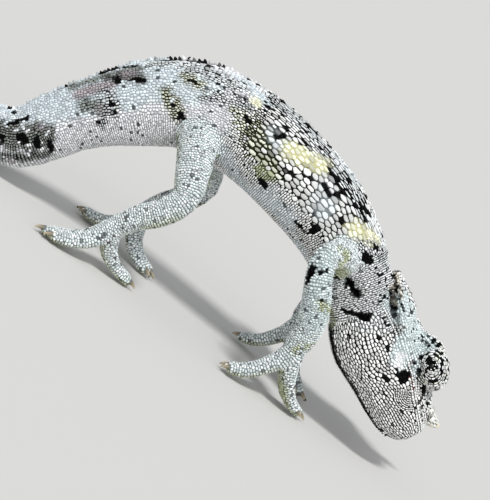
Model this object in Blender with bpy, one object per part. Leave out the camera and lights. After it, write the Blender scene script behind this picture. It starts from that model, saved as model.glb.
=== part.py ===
"""A young Meller's chameleon at life size, standing with its back arched and its tail laid on the floor.

The animal faces +X, its right side is at -Y and the floor is z = 0. Every length below is in millimetres,
from a point under the middle of the trunk; at the end the whole is centred on its footprint.
"""

import math
import random

import bmesh
import bpy
import numpy as np
from mathutils import Matrix, Vector

MM = 0.001
GAP = 0.3
SEED = 11
UPRIGHT = Vector((0.0, 0.0, 1.0))

# The body from the back of the head to the tail's tip: centre x, y, z, then half width,
# height above the centre, depth below it, and the roll of the section in degrees.
BODY_ROWS = (
    (25.2, 0.1, 16.2, 4.3, 4.2, 5.4, 40),
    (21.2, 0.0, 18.8, 4.7, 4.6, 6.1, 36),
    (17.6, 0.0, 21.3, 5.2, 5.5, 6.1, 16),
    (13.8, 0.0, 23.6, 5.6, 5.9, 6.1, 3),
    (9.0, 0.0, 25.7, 5.9, 6.5, 6.6, 0),
    (2.3, 0.0, 27.3, 6.2, 6.8, 7.0, 0),
    (-4.2, 0.0, 28.2, 6.2, 6.8, 7.2, 0),
    (-10.8, 0.0, 27.8, 5.8, 7.0, 7.0, 0),
    (-15.6, 0.0, 26.5, 5.3, 7.0, 6.7, 0),
    (-20.5, 0.0, 23.5, 4.7, 6.7, 6.4, 0),
    (-23.7, 0.0, 20.5, 4.3, 6.3, 6.0, 0),
    (-26.4, 0.0, 17.6, 4.0, 5.5, 5.4, 0),
    (-29.2, 0.0, 13.9, 3.7, 5.1, 5.0, 0),
    (-31.4, 0.0, 10.3, 3.5, 4.9, 4.8, 0),
    (-33.9, 0.1, 6.5, 3.3, 4.5, 4.5, 0),
    (-37.8, 0.6, 4.6, 3.1, 4.1, 4.3, 0),
    (-42.4, 2.2, 3.8, 2.8, 3.6, 3.9, 0),
    (-46.8, 5.2, 3.3, 2.5, 3.1, 3.4, 0),
    (-49.4, 9.4, 2.8, 2.2, 2.6, 2.9, 0),
    (-50.0, 14.0, 2.35, 1.9, 2.2, 2.45, 0),
    (-48.4, 18.2, 1.95, 1.6, 1.8, 2.05, 0),
    (-45.0, 21.0, 1.6, 1.3, 1.45, 1.7, 0),
    (-40.8, 21.7, 1.3, 1.0, 1.1, 1.4, 0),
    (-37.4, 20.0, 1.0, 0.75, 0.8, 1.05, 0),
    (-36.0, 17.2, 0.75, 0.5, 0.55, 0.8, 0),
)
# Where one length of the body ends and the next begins, as the row's number above.
BODY_SPLITS = {
    "neck": (0.0, 2.0),
    "torso": (2.0, 8.6),
    "tail_base": (8.6, 12.0),
    "tail_middle_1": (12.0, 16.0),
    "tail_middle_2": (16.0, 19.5),
    "tail_tip": (19.5, 24.0),
}
# Rings along each length, and sides round it.
BODY_MESH = {
    "neck": (6, 26), "torso": (20, 26), "tail_base": (9, 22),
    "tail_middle_1": (11, 20), "tail_middle_2": (9, 16), "tail_tip": (12, 12),
}

# The head's own frame: forward to the snout, up through the casque, and out to the animal's right.
NECK_CENTRE = Vector((21.2, 0.0, 18.8))
HEAD_PITCH = -33.0
HEAD_YAW = 1.5
HEAD_ROLL = 40.0

# Head sections: forward, top, bottom, half width.
HEAD_ROWS = (
    (0.8, 5.1, -6.6, 4.8),
    (3.2, 6.4, -7.3, 5.2),
    (6.3, 7.2, -7.6, 5.3),
    (9.0, 7.4, -7.0, 5.1),
    (12.0, 6.9, -6.2, 4.8),
    (15.5, 5.6, -5.6, 4.0),
    (18.2, 4.5, -4.8, 3.1),
    (19.8, 3.5, -3.7, 2.3),
    (20.9, 2.4, -2.5, 1.5),
    (21.4, 1.7, -1.3, 0.7),
)
HEAD_SIDES = 26
HEAD_RINGS = 15
HEAD_WIDEST = -0.4
SNOUT_START = 19.0
HEAD_POWER_ABOVE = 2.4
HEAD_POWER_BELOW = 2.1

# The mouth seen from the side, forward and up, from the snout's tip back to the corner and the jaw's angle.
MOUTH_LINE = ((22.5, 1.15), (20.8, 0.95), (18.5, 0.4), (15.5, 0.15), (12.0, 0.25), (10.0, 0.1))
JAW_ANGLE_LINE = ((7.0, -0.9), (3.5, -2.3), (-3.0, -4.0))
CUT_AHEAD = 24.0
CUT_REACH = 20.0
CUT_HALF_WIDTH = 12.0
LIP_RADIUS = 0.5
NOSTRIL = (17.1, 3.0)
NOSTRIL_RADIUS = 0.5

# The turret is longer along the head than across it, and reaches less far into the head than out of it.
TURRET_CENTRE = (12.5, 4.8, 4.65)
TURRET_HALF_LENGTH = 3.5
TURRET_HALF_HEIGHT = 2.5
TURRET_BACK = 3.0
TURRET_FRONT = 3.75
TURRET_LONG_AXIS = (1.0, -0.43, 0.0)
GAZE_RIGHT = (-0.33, -0.61, 0.74)
GAZE_LEFT = (0.42, 0.16, 0.89)
EYE_RADIUS = 0.6
EYE_SINK = 0.5
RIM_RADIUS = 1.02
RIM_THICKNESS = 0.3

HORN_ROOT = (17.6, 2.9)
HORN_TIP = (21.9, 5.3)
HORN_BASE_RADIUS = 1.45
# Share of the horn's length, and share of its base radius there.
HORN_PROFILE = ((0.0, 1.0), (0.45, 0.98), (0.62, 0.84), (0.8, 0.62), (0.93, 0.42), (1.0, 0.18))

# Ridge over the eye and along the casque's edge, forward and up, then its end on the casque's shelf.
RIDGE_LINE = ((18.6, 3.6), (15.6, 5.0), (12.3, 6.1), (8.6, 6.5), (5.0, 6.2), (2.4, 5.7))
RIDGE_END = ((0.0, 5.95, 1.8), (-1.9, 6.0, 0.8))
RIDGE_RADIUS = 0.5

# Brow over the turret: forward, up, out, radius.
BROW_ROWS = (
    (7.4, 6.2, 3.0, 0.8), (9.0, 6.3, 3.8, 1.45), (10.2, 6.25, 4.25, 1.75), (11.6, 6.1, 4.3, 1.5), (13.2, 5.5, 3.6, 0.8),
)

# Casque shelf over the neck: forward, up, half width, half height.
CASQUE_ROWS = (
    (6.0, 5.4, 3.0, 1.5), (4.0, 5.5, 3.0, 1.2), (1.6, 5.7, 2.6, 0.95),
    (-0.6, 5.9, 1.9, 0.75), (-2.2, 6.0, 1.1, 0.55), (-3.0, 6.0, 0.5, 0.3),
)

# Flap behind the temple: forward, up, out, half height.
LOBE_ROWS = (
    (6.8, 3.0, 4.3, 1.6), (5.4, 3.0, 4.8, 2.6), (3.4, 3.1, 5.2, 2.9),
    (1.4, 3.7, 5.15, 2.5), (-0.8, 4.6, 4.4, 1.7), (-3.0, 5.4, 3.1, 0.6),
)
LOBE_HALF_THICKNESS = 0.45
LOBE_FACING = (0.0, 0.42, 0.9)

# Limbs of the right side: centre x, y, z and radius, from the root inside the body to the wrist or ankle.
FORE_ROWS = (
    (15.6, -1.5, 22.4, 2.7), (14.7, -4.8, 22.9, 2.6), (13.3, -8.3, 23.2, 2.3), (12.4, -10.7, 22.0, 2.15),
    (13.3, -11.8, 19.4, 2.15), (15.2, -11.1, 16.4, 2.35), (16.6, -10.1, 13.0, 2.3), (16.9, -9.4, 9.6, 2.1),
)
FORE_ELBOW = 3.3
HIND_ROWS = (
    (-13.6, -1.5, 24.8, 3.2), (-12.2, -5.2, 22.8, 3.1), (-10.2, -8.3, 19.6, 2.7), (-8.7, -10.3, 16.2, 2.25),
    (-10.0, -10.9, 13.1, 2.2), (-12.6, -10.7, 9.8, 2.0), (-14.4, -10.2, 6.6, 1.7),
)
HIND_KNEE = 3.0
LIMB_RINGS = 9
LIMB_SIDES = 12

# Toe bundles of the right side: path of the bundle's middle, and its number of toes.
FORE_OUTER = (
    (16.9, -9.4, 9.4), (16.4, -9.7, 6.8), (15.0, -10.1, 4.2), (13.2, -10.6, 2.1), (10.9, -11.2, 1.0),
)
FORE_INNER = (
    (16.9, -9.2, 9.2), (17.8, -8.6, 6.4), (19.2, -7.6, 3.6), (21.0, -6.6, 1.8), (23.0, -5.9, 1.0),
)
HIND_OUTER = (
    (-14.4, -10.2, 6.4), (-15.6, -10.9, 4.2), (-17.4, -11.8, 2.4), (-19.6, -12.8, 1.4), (-21.6, -13.5, 1.0),
)
HIND_INNER = (
    (-14.3, -10.1, 6.2), (-13.5, -9.2, 4.0), (-12.0, -8.2, 2.3), (-10.0, -7.2, 1.4), (-8.2, -6.5, 1.0),
)
TOE_ROOT_RADIUS = 1.75
TOE_TIP_RADIUS = 1.0
TOE_SPREAD = (0.55, 1.15)
TOE_HINT = (0.1, 0.2, 1.0)
LIMB_HINT = (1.0, 0.3, 0.1)
CLAW_LENGTH = 1.3
CLAW_RADIUS = 0.42
# How far the left limbs stand ahead of the right ones, forward and out.
LEFT_FORE_SHIFT = (-1.6, 0.4)
LEFT_HIND_SHIFT = (1.4, 0.6)

# Crest scales along the back: how many on each length, and their least and greatest height.
CREST_SPINES = {"torso": (28, (0.28, 0.5)), "tail_base": (12, (0.3, 0.55)), "tail_middle_1": (10, (0.3, 0.5))}
TALL_SPINE = 1.6
GULAR_SPINES = 17
GULAR_START = 1.8
GULAR_SPAN = 17.5
GULAR_HEIGHTS = (0.28, 0.48)
GULAR_RADIUS = 0.4

SKIN = ((0.62, 0.64, 0.60), 0.75)
PALE_SKIN = ((0.72, 0.78, 0.78), 0.7)
EYE = ((0.02, 0.02, 0.02), 0.15)
HORN_COLOUR = ((0.78, 0.74, 0.62), 0.5)


def unit(vector):
    return Vector(vector).normalized()


def head_axes():
    """Forward, up and right of the head, after its pitch, yaw and roll."""
    pitch, yaw, roll = (math.radians(angle) for angle in (HEAD_PITCH, HEAD_YAW, HEAD_ROLL))
    forward = Vector((math.cos(pitch) * math.cos(yaw), math.cos(pitch) * math.sin(yaw), math.sin(pitch)))
    right = unit(forward.cross(UPRIGHT))
    up = right.cross(forward)
    return forward, up * math.cos(roll) - right * math.sin(roll), right * math.cos(roll) + up * math.sin(roll)


HEAD_FORWARD, HEAD_UP, HEAD_RIGHT = head_axes()


def head_point(forward, up, out):
    return NECK_CENTRE + HEAD_FORWARD * forward + HEAD_UP * up + HEAD_RIGHT * out


def head_direction(forward, up, out):
    return unit(HEAD_FORWARD * forward + HEAD_UP * up + HEAD_RIGHT * out)


class Track:
    """Rows of numbers joined by a smooth curve, read by distance along the first columns."""

    def __init__(self, rows, place_columns=3):
        self.rows = np.array(rows, dtype=float)
        steps = np.linalg.norm(np.diff(self.rows[:, :place_columns], axis=0), axis=1)
        self.at = np.concatenate(([0.0], np.cumsum(steps)))
        self.slopes = np.gradient(self.rows, self.at, axis=0)

    def distance(self, row_number):
        return float(np.interp(row_number, range(len(self.at)), self.at))

    def read(self, distance):
        index = int(np.clip(np.searchsorted(self.at, distance) - 1, 0, len(self.at) - 2))
        span = self.at[index + 1] - self.at[index]
        t = (distance - self.at[index]) / span
        if t < 0.0 or t > 1.0:
            end = index if t < 0.0 else index + 1
            return self.rows[end] + self.slopes[end] * (distance - self.at[end])
        smooth = t * t * (3.0 - 2.0 * t)
        lead = t * (1.0 - t) ** 2 * span
        trail = t * t * (t - 1.0) * span
        base = self.rows[index] * (1.0 - smooth) + self.rows[index + 1] * smooth
        return base + self.slopes[index] * lead + self.slopes[index + 1] * trail

    def heading(self, distance):
        return unit((self.read(distance + 0.05) - self.read(distance - 0.05))[:3])


def section(centre, right, up, half_width, above, below, sides, power=2.0):
    """One closed ring of points, a superellipse with its own height above and depth below the centre."""
    points = []
    for step in range(sides):
        angle = 2.0 * math.pi * (step + 0.5) / sides
        across = math.copysign(abs(math.cos(angle)) ** (2.0 / power), math.cos(angle))
        along = math.copysign(abs(math.sin(angle)) ** (2.0 / power), math.sin(angle))
        height = above if along > 0.0 else below
        points.append(centre + right * (half_width * across) + up * (height * along))
    return points


def loft(name, rings):
    """A closed solid through rings of equal count, with a flat fan over each end."""
    mesh = bmesh.new()
    loops = [[mesh.verts.new(point * MM) for point in ring] for ring in rings]
    count = len(loops[0])
    for near, far in zip(loops, loops[1:]):
        for step in range(count):
            following = (step + 1) % count
            mesh.faces.new((near[step], near[following], far[following], far[step]))
    for loop in (loops[0], loops[-1]):
        middle = mesh.verts.new(sum((vert.co for vert in loop), Vector()) / count)
        for step in range(count):
            mesh.faces.new((loop[step], loop[(step + 1) % count], middle))
    bmesh.ops.recalc_face_normals(mesh, faces=mesh.faces)
    bmesh.ops.triangulate(mesh, faces=mesh.faces)
    return link(name, mesh)


def link(name, mesh):
    data = bpy.data.meshes.new(name)
    mesh.to_mesh(data)
    mesh.free()
    obj = bpy.data.objects.new(name, data)
    bpy.context.collection.objects.link(obj)
    return obj


def ball(name, centre, radius, segments=18, rings=11):
    mesh = bmesh.new()
    bmesh.ops.create_uvsphere(mesh, u_segments=segments, v_segments=rings, radius=radius * MM)
    bmesh.ops.translate(mesh, verts=mesh.verts, vec=centre * MM)
    bmesh.ops.triangulate(mesh, faces=mesh.faces)
    return link(name, mesh)


def remove(objects):
    for obj in objects:
        bpy.data.objects.remove(obj)


def keep_largest(obj):
    """Leaves only the largest closed surface of a mesh."""
    mesh = bmesh.new()
    mesh.from_mesh(obj.data)
    unseen = set(mesh.faces)
    shells = []
    while unseen:
        stack = [unseen.pop()]
        shell = []
        while stack:
            face = stack.pop()
            shell.append(face)
            for edge in face.edges:
                for other in edge.link_faces:
                    if other in unseen:
                        unseen.remove(other)
                        stack.append(other)
        shells.append(shell)
    shells.sort(key=lambda shell: sum(face.calc_area() for face in shell), reverse=True)
    loose = [face for shell in shells[1:] for face in shell]
    bmesh.ops.delete(mesh, geom=loose, context="FACES")
    mesh.to_mesh(obj.data)
    mesh.free()


def combine(target, others, operation):
    """Applies one Boolean of target with the other objects, and drops loose scraps."""
    collection = bpy.data.collections.new("operands")
    for other in others:
        collection.objects.link(other)
    modifier = target.modifiers.new("combine", "BOOLEAN")
    modifier.operand_type = "COLLECTION"
    modifier.collection = collection
    modifier.operation = operation
    modifier.solver = "EXACT"
    bpy.context.view_layer.update()
    graph = bpy.context.evaluated_depsgraph_get()
    data = bpy.data.meshes.new_from_object(target.evaluated_get(graph))
    target.modifiers.clear()
    target.data = data
    bpy.data.collections.remove(collection)
    remove(others)
    keep_largest(target)
    return target


def tube(name, track, start, end, rings, sides, hint, grow=0.0, round_end=False):
    """A solid along a track of x, y, z and radius, or half width, above and below."""
    loops = [tube_ring(track, spot, sides, hint, grow) for spot in np.linspace(start, end, rings)]
    if round_end:
        loops += cap_rings(track, end, sides, hint, grow)
    return loft(name, loops)


def tube_ring(track, spot, sides, hint, grow, scale=1.0):
    row = track.read(spot)
    heading = track.heading(spot)
    right = unit(Vector(hint).cross(heading))
    up = heading.cross(right)
    if len(row) == 4:
        sizes = (row[3], row[3], row[3])
    else:
        sizes = row[3:6]
        turn = Matrix.Rotation(math.radians(row[6]), 3, heading)
        right, up = turn @ right, turn @ up
    width, above, below = (size * scale + grow for size in sizes)
    return section(Vector(row[:3]), right, up, width, above, below, sides)


def cap_rings(track, spot, sides, hint, grow):
    """Rings that close a tube's end as a low dome."""
    radius = track.read(spot)[3]
    rings = []
    for angle in (math.radians(38.0), math.radians(72.0)):
        reach = radius * math.sin(angle)
        rings.append(tube_ring(track, spot + reach, sides, hint, grow, math.cos(angle)))
    return rings


def rest_on_floor(obj):
    """Flattens what lies under the floor, which leaves the small flats that the model rests on."""
    for vert in obj.data.vertices:
        vert.co.z = max(vert.co.z, 0.0)


def spine(name, base, lean, height, radius, sides=5):
    """One crest scale: a short cone, its root sunk below the base point."""
    lean = unit(lean)
    side = unit(lean.orthogonal())
    other = lean.cross(side)
    rings = []
    for level, width in ((-0.55, 1.0), (height * 0.5, 0.75), (height, 0.12)):
        ring = []
        for step in range(sides):
            angle = 2.0 * math.pi * step / sides
            out = side * math.cos(angle) + other * math.sin(angle)
            ring.append(base + lean * level + out * radius * width)
        rings.append(ring)
    return loft(name, rings)


def build_body():
    """Neck, torso and the lengths of the tail along one track."""
    track = Track(BODY_ROWS)
    parts = {}
    for name, (first, last) in BODY_SPLITS.items():
        start = track.distance(first) + (GAP / 2 if first > 0.0 else 0.0)
        end = track.distance(last) - (GAP / 2 if last < len(BODY_ROWS) - 1 else 0.0)
        rings, sides = BODY_MESH[name]
        parts[name] = tube(name, track, start, end, rings, sides, UPRIGHT, round_end=name == "tail_tip")
    for name in ("tail_middle_1", "tail_middle_2", "tail_tip"):
        rest_on_floor(parts[name])
    return track, parts


def grown_torso(track):
    """A cutter a gap larger than the torso."""
    first, last = BODY_SPLITS["torso"]
    start, end = track.distance(first) - GAP / 2, track.distance(last) + GAP / 2
    rings, sides = BODY_MESH["torso"]
    return tube("grown_torso", track, start, end, rings, sides, UPRIGHT, grow=GAP)


HEAD_TRACK = Track([(row[0], 0.0, 0.0) + row[1:] for row in HEAD_ROWS], 1)


def head_sizes(forward):
    """Top, bottom, half width and widest level of the head at a distance forward."""
    top, bottom, half_width = HEAD_TRACK.read(forward - HEAD_ROWS[0][0])[3:6]
    widest = HEAD_WIDEST if forward < SNOUT_START else (top + bottom) / 2.0
    return top, bottom, half_width, widest


def head_ring(forward, grow=0.0):
    """A head section: narrower above its widest level than below it."""
    top, bottom, half_width, widest = head_sizes(forward)
    points = []
    for step in range(HEAD_SIDES):
        angle = 2.0 * math.pi * (step + 0.5) / HEAD_SIDES
        across, along = math.cos(angle), math.sin(angle)
        power = HEAD_POWER_ABOVE if along > 0.0 else HEAD_POWER_BELOW
        across = math.copysign(abs(across) ** (2.0 / power), across)
        along = math.copysign(abs(along) ** (2.0 / power), along)
        reach = top - widest if along > 0.0 else widest - bottom
        points.append(head_point(forward, widest + along * (reach + grow), across * (half_width + grow)))
    return points


def head_side(forward, up):
    """How far out the head's side lies at a place on its profile."""
    top, bottom, half_width, widest = head_sizes(forward)
    power = HEAD_POWER_ABOVE if up > widest else HEAD_POWER_BELOW
    reach = top - widest if up > widest else widest - bottom
    share = min(1.0, abs(up - widest) / reach)
    return half_width * (1.0 - share ** power) ** (1.0 / power)


def head_loft(name, grow=0.0):
    start, end = HEAD_ROWS[0][0], HEAD_ROWS[-1][0]
    rings = []
    for share in np.linspace(1.0, 0.0, HEAD_RINGS):
        closer_at_snout = 1.0 - share ** 1.35
        rings.append(head_ring(start + (end - start) * closer_at_snout, grow))
    if grow:
        shift = HEAD_FORWARD * grow
        rings = [[point - shift for point in rings[0]]] + rings + [[point + shift for point in rings[-1]]]
    return loft(name, rings)


def casque_loft(name, grow=0.0):
    rings = []
    for forward, up, half_width, half_height in CASQUE_ROWS:
        rings.append(section(
            head_point(forward, up, 0.0), HEAD_RIGHT, HEAD_UP,
            half_width + grow, half_height + grow, half_height + grow, 12,
        ))
    return loft(name, rings)


def head_tube(name, path, radius, rings, grow=0.0):
    """A round ridge through points given in the head's frame."""
    track = Track([tuple(head_point(*point)) + (radius,) for point in path])
    return tube(name, track, 0.0, track.at[-1], rings, 6, HEAD_UP, grow=grow)


def ridge_path(sign):
    line = [(forward, up, (head_side(forward, up) - 0.1) * sign) for forward, up in RIDGE_LINE]
    return line + [(forward, up, out * sign) for forward, up, out in RIDGE_END]


def brow(sign):
    """The thick brow that roofs the back of the turret."""
    track = Track([tuple(head_point(f, u, out * sign)) + (radius,) for f, u, out, radius in BROW_ROWS])
    return tube("brow", track, 0.0, track.at[-1], 9, 10, HEAD_UP)


def lip_path():
    """Points of the lips round the snout, from one corner of the mouth to the other."""
    track = Track([(forward, 0.0, 0.0, up) for forward, up in MOUTH_LINE[1:]], 1)
    side = []
    for step in range(8):
        row = track.read(track.at[-1] * (1.0 - step / 7.0))
        side.append((row[0], row[3], head_side(row[0], row[3]) - 0.12))
    forward, up, out = side[0]
    side[0] = (forward, up, out - 0.7)
    return side + [(forward, up, -out) for forward, up, out in side[::-1]]


def prism(name, outline):
    """A solid across the head from an outline of forward and up."""
    mesh = bmesh.new()
    corners = [head_point(forward, up, -CUT_HALF_WIDTH) for forward, up in outline]
    near = mesh.faces.new([mesh.verts.new(corner * MM) for corner in corners])
    grown = bmesh.ops.extrude_face_region(mesh, geom=[near])
    moved = [item for item in grown["geom"] if isinstance(item, bmesh.types.BMVert)]
    bmesh.ops.translate(mesh, verts=moved, vec=HEAD_RIGHT * 2.0 * CUT_HALF_WIDTH * MM)
    bmesh.ops.triangulate(mesh, faces=mesh.faces)
    bmesh.ops.recalc_face_normals(mesh, faces=mesh.faces)
    return link(name, mesh)


def jaw_cutter(name, above):
    """Everything on one side of the mouth line and the jaw's angle, and half the gap beyond it."""
    shift = -GAP / 2 if above else GAP / 2
    line = [(forward, up + shift) for forward, up in MOUTH_LINE + JAW_ANGLE_LINE]
    far = CUT_REACH if above else -CUT_REACH
    return prism(name, line + [(line[-1][0], far), (CUT_AHEAD, far), (CUT_AHEAD, line[0][1])])


def turret_centre(sign):
    forward, up, out = TURRET_CENTRE
    return head_point(forward, up, out * sign)


def gaze(sign):
    forward, up, out = GAZE_RIGHT if sign > 0 else GAZE_LEFT
    return head_direction(forward, up, out * sign)


def turret_axes(sign):
    """Where the turret looks, its long axis and its short one."""
    axis = gaze(sign)
    forward, up, out = TURRET_LONG_AXIS
    long_axis = head_direction(forward, up, out * sign)
    long_axis = unit(long_axis - axis * long_axis.dot(axis))
    return axis, long_axis, long_axis.cross(axis) * sign


def turret_loft(name, sign, grow=0.0):
    centre = turret_centre(sign)
    axis, long_axis, short_axis = turret_axes(sign)
    rings = []
    for step in range(1, 12):
        angle = math.pi * step / 12.0
        reach = -math.cos(angle)
        length = TURRET_BACK if reach < 0.0 else TURRET_FRONT
        width = math.sin(angle) ** 0.95
        long_half = TURRET_HALF_LENGTH * width + grow
        short_half = TURRET_HALF_HEIGHT * width + grow
        along = reach * (length + grow)
        rings.append(section(centre + axis * along, long_axis, short_axis, long_half, short_half, short_half, 18))
    return loft(name, rings)


def build_turret(name, sign):
    """The cone of fused lids: a ball drawn out towards the pupil, with a rim round a small opening."""
    centre, axis = turret_centre(sign), gaze(sign)
    turret = turret_loft(name, sign)
    eye_centre = centre + axis * (TURRET_FRONT - EYE_SINK)
    rim = ring("rim", eye_centre + axis * (EYE_SINK - 0.1), axis, RIM_RADIUS, RIM_THICKNESS)
    combine(turret, [rim], "UNION")
    combine(turret, [ball("pit", eye_centre, EYE_RADIUS + GAP, 12, 8)], "DIFFERENCE")
    eye = ball("eye_" + name.rsplit("_", 1)[1], eye_centre, EYE_RADIUS, 12, 8)
    return turret, eye


def ring(name, centre, axis, radius, thickness):
    """A closed ring round an axis."""
    side = unit(axis.orthogonal())
    other = axis.cross(side)
    mesh = bmesh.new()
    around, across = 12, 5
    verts = []
    for step in range(around):
        angle = 2.0 * math.pi * step / around
        out = side * math.cos(angle) + other * math.sin(angle)
        for turn in range(across):
            tilt = 2.0 * math.pi * turn / across
            point = centre + out * (radius + thickness * math.cos(tilt)) + axis * thickness * math.sin(tilt)
            verts.append(mesh.verts.new(point * MM))
    for step in range(around):
        for turn in range(across):
            following, beside = (step + 1) % around, (turn + 1) % across
            mesh.faces.new((
                verts[step * across + turn], verts[following * across + turn],
                verts[following * across + beside], verts[step * across + beside],
            ))
    bmesh.ops.recalc_face_normals(mesh, faces=mesh.faces)
    bmesh.ops.triangulate(mesh, faces=mesh.faces)
    return link(name, mesh)


def build_head():
    """Skull with casque, crests and nostrils, and the lower jaw with the throat."""
    head = head_loft("head")
    ridges = [head_tube("ridge", ridge_path(sign), RIDGE_RADIUS, 11) for sign in (1, -1)]
    ridges += [brow(sign) for sign in (1, -1)]
    lips = head_tube("lips", lip_path(), LIP_RADIUS, 19)
    combine(head, [casque_loft("casque")] + ridges + [lips], "UNION")
    sockets = [turret_loft("socket", sign, GAP) for sign in (1, -1)]
    nostrils = []
    for sign in (1, -1):
        place = head_point(*NOSTRIL, sign * (head_side(*NOSTRIL) + 0.1))
        nostrils.append(ball("nostril", place, NOSTRIL_RADIUS, 8, 6))
    combine(head, sockets + nostrils, "DIFFERENCE")
    jaw = head.copy()
    jaw.data = head.data.copy()
    jaw.name = "lower_jaw"
    bpy.context.collection.objects.link(jaw)
    combine(head, [jaw_cutter("below", False)], "DIFFERENCE")
    combine(jaw, [jaw_cutter("above", True)], "DIFFERENCE")
    return head, jaw


def grown_head():
    """Cutters a gap larger than the head: its sections, its casque and its ridges."""
    ridges = [head_tube("grown_ridge", ridge_path(sign), RIDGE_RADIUS, 11, GAP) for sign in (1, -1)]
    return [head_loft("grown_head", GAP), casque_loft("grown_casque", GAP)] + ridges


def build_horn():
    root = head_point(HORN_ROOT[0], HORN_ROOT[1], 0.0)
    tip = head_point(HORN_TIP[0], HORN_TIP[1], 0.0)
    axis = unit(tip - root)
    length = (tip - root).length
    rings = []
    high = HEAD_RIGHT.cross(axis)
    for share, width in HORN_PROFILE:
        radius = HORN_BASE_RADIUS * width
        rings.append(section(root + axis * length * share, HEAD_RIGHT, high, radius, radius, radius, 12))
    return combine(loft("horn", rings), grown_head(), "DIFFERENCE")


def build_lobe(name, sign, grow=0.0):
    """A thin flap that hangs back from the casque's edge over the side of the neck."""
    facing = head_direction(LOBE_FACING[0], LOBE_FACING[1], LOBE_FACING[2] * sign)
    track = Track([tuple(head_point(f, u, out * sign)) + (height,) for f, u, out, height in LOBE_ROWS])
    rings = []
    for spot in np.linspace(0.0, track.at[-1], 10):
        row = track.read(spot)
        along = track.heading(spot)
        high = unit(along.cross(facing))
        thick = LOBE_HALF_THICKNESS + grow
        out = unit(high.cross(along))
        rings.append(section(Vector(row[:3]), high, out, row[3] + grow, thick, thick, 16, 2.4))
    return loft(name, rings)


def upper_length(name, track, bend, grow=0.0):
    return tube(name, track, 0.0, track.distance(bend) - GAP / 2, LIMB_RINGS, LIMB_SIDES, LIMB_HINT, grow)


def lower_length(name, track, bend, grow=0.0):
    start = track.distance(bend) + GAP / 2
    return tube(name, track, start, track.at[-1], LIMB_RINGS, LIMB_SIDES, LIMB_HINT, grow, round_end=True)


def toe_tracks(path, toes):
    """One track for each toe of a bundle that fans a little."""
    middle = (toes - 1) / 2.0
    ends = Track(path)
    level = unit((path[-1][0] - path[0][0], path[-1][1] - path[0][1], 0.0))
    across = level.cross(UPRIGHT)
    tracks = []
    for toe in range(toes):
        rows = []
        shortening = 0.9 - 0.12 * abs(toe - middle)
        for step in range(7):
            share = step / 6.0
            row = ends.read(ends.at[-1] * share * (shortening + 0.1))
            spread = TOE_SPREAD[0] + (TOE_SPREAD[1] - TOE_SPREAD[0]) * share
            radius = TOE_ROOT_RADIUS + (TOE_TIP_RADIUS - TOE_ROOT_RADIUS) * share ** 0.7
            rows.append(tuple(Vector(row) + across * spread * (toe - middle)) + (radius,))
        tracks.append(Track(rows))
    return tracks


def toe_tube(track, grow=0.0):
    return tube("toe", track, 0.0, track.at[-1], 7, 8, TOE_HINT, grow, round_end=True)


def build_toes(name, path, toes, cutters):
    """A bundle of fused toes, each with its claw, cut clear of the shank and of the other bundle."""
    pieces = []
    for track in toe_tracks(path, toes):
        heading = track.heading(track.at[-1])
        tip = Vector(track.read(track.at[-1])[:3])
        pieces.append(toe_tube(track))
        pieces.append(claw(tip + heading * TOE_TIP_RADIUS * 0.5, heading))
    bundle = pieces[0]
    bundle.name = name
    combine(bundle, pieces[1:], "UNION")
    rest_on_floor(bundle)
    return combine(bundle, cutters, "DIFFERENCE")


def claw(root, heading):
    """A short hooked cone that bends down to the floor."""
    flat = unit((heading.x, heading.y, 0.0))
    rings = []
    for step in range(4):
        share = step / 3.0
        along = unit(flat * (1.0 - 0.35 * share) - UPRIGHT * (0.1 + 0.55 * share))
        drop = Vector((0.0, 0.0, -0.5 * share * share))
        centre = root + flat * CLAW_LENGTH * share + drop + Vector((0.0, 0.0, 0.12))
        radius = CLAW_RADIUS * (1.0 - 0.75 * share)
        right = unit(along.cross(UPRIGHT))
        rings.append(section(centre, right, right.cross(along), radius, radius, radius, 5))
    return loft("claw", rings)


def mirrored(points, shift):
    """The same path on the left side, moved a little so that the stance isn't stiff."""
    top = points[0][2]
    moved = []
    for point in points:
        share = 1.0 - max(0.0, min(1.0, point[2] / top))
        moved.append((point[0] + shift[0] * share, -point[1] + shift[1] * share) + tuple(point[2:]))
    return tuple(moved)


def shifted(points, shift):
    """A toe path on the left side, moved as far as the foot it belongs to."""
    return tuple((point[0] + shift[0], -point[1] + shift[1], point[2]) for point in points)


def build_leg(prefix, limb, toe_counts, body_track, shift=None):
    """One leg: upper and lower length, parted at the elbow or knee, and its two bundles of toes."""
    rows, bend, outer, inner = limb
    if shift:
        rows = mirrored(rows, shift)
        foot_shift = (rows[-1][0] - outer[0][0], rows[-1][1] + outer[0][1])
        outer, inner = shifted(outer, foot_shift), shifted(inner, foot_shift)
    track = Track(rows)
    upper = combine(upper_length(prefix + "_upper", track, bend), [grown_torso(body_track)], "DIFFERENCE")
    lower = lower_length(prefix + "_lower", track, bend)
    combine(lower, [upper_length("grown_upper", track, bend, GAP)], "DIFFERENCE")
    outer_toes = build_toes(
        prefix + "_outer_toes", outer, toe_counts[0], [lower_length("grown_lower", track, bend, GAP)],
    )
    clearance = [toe_tube(toe, GAP) for toe in toe_tracks(outer, toe_counts[0])]
    clearance.append(lower_length("grown_lower", track, bend, GAP))
    return [upper, lower, outer_toes, build_toes(prefix + "_inner_toes", inner, toe_counts[1], clearance)]


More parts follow.
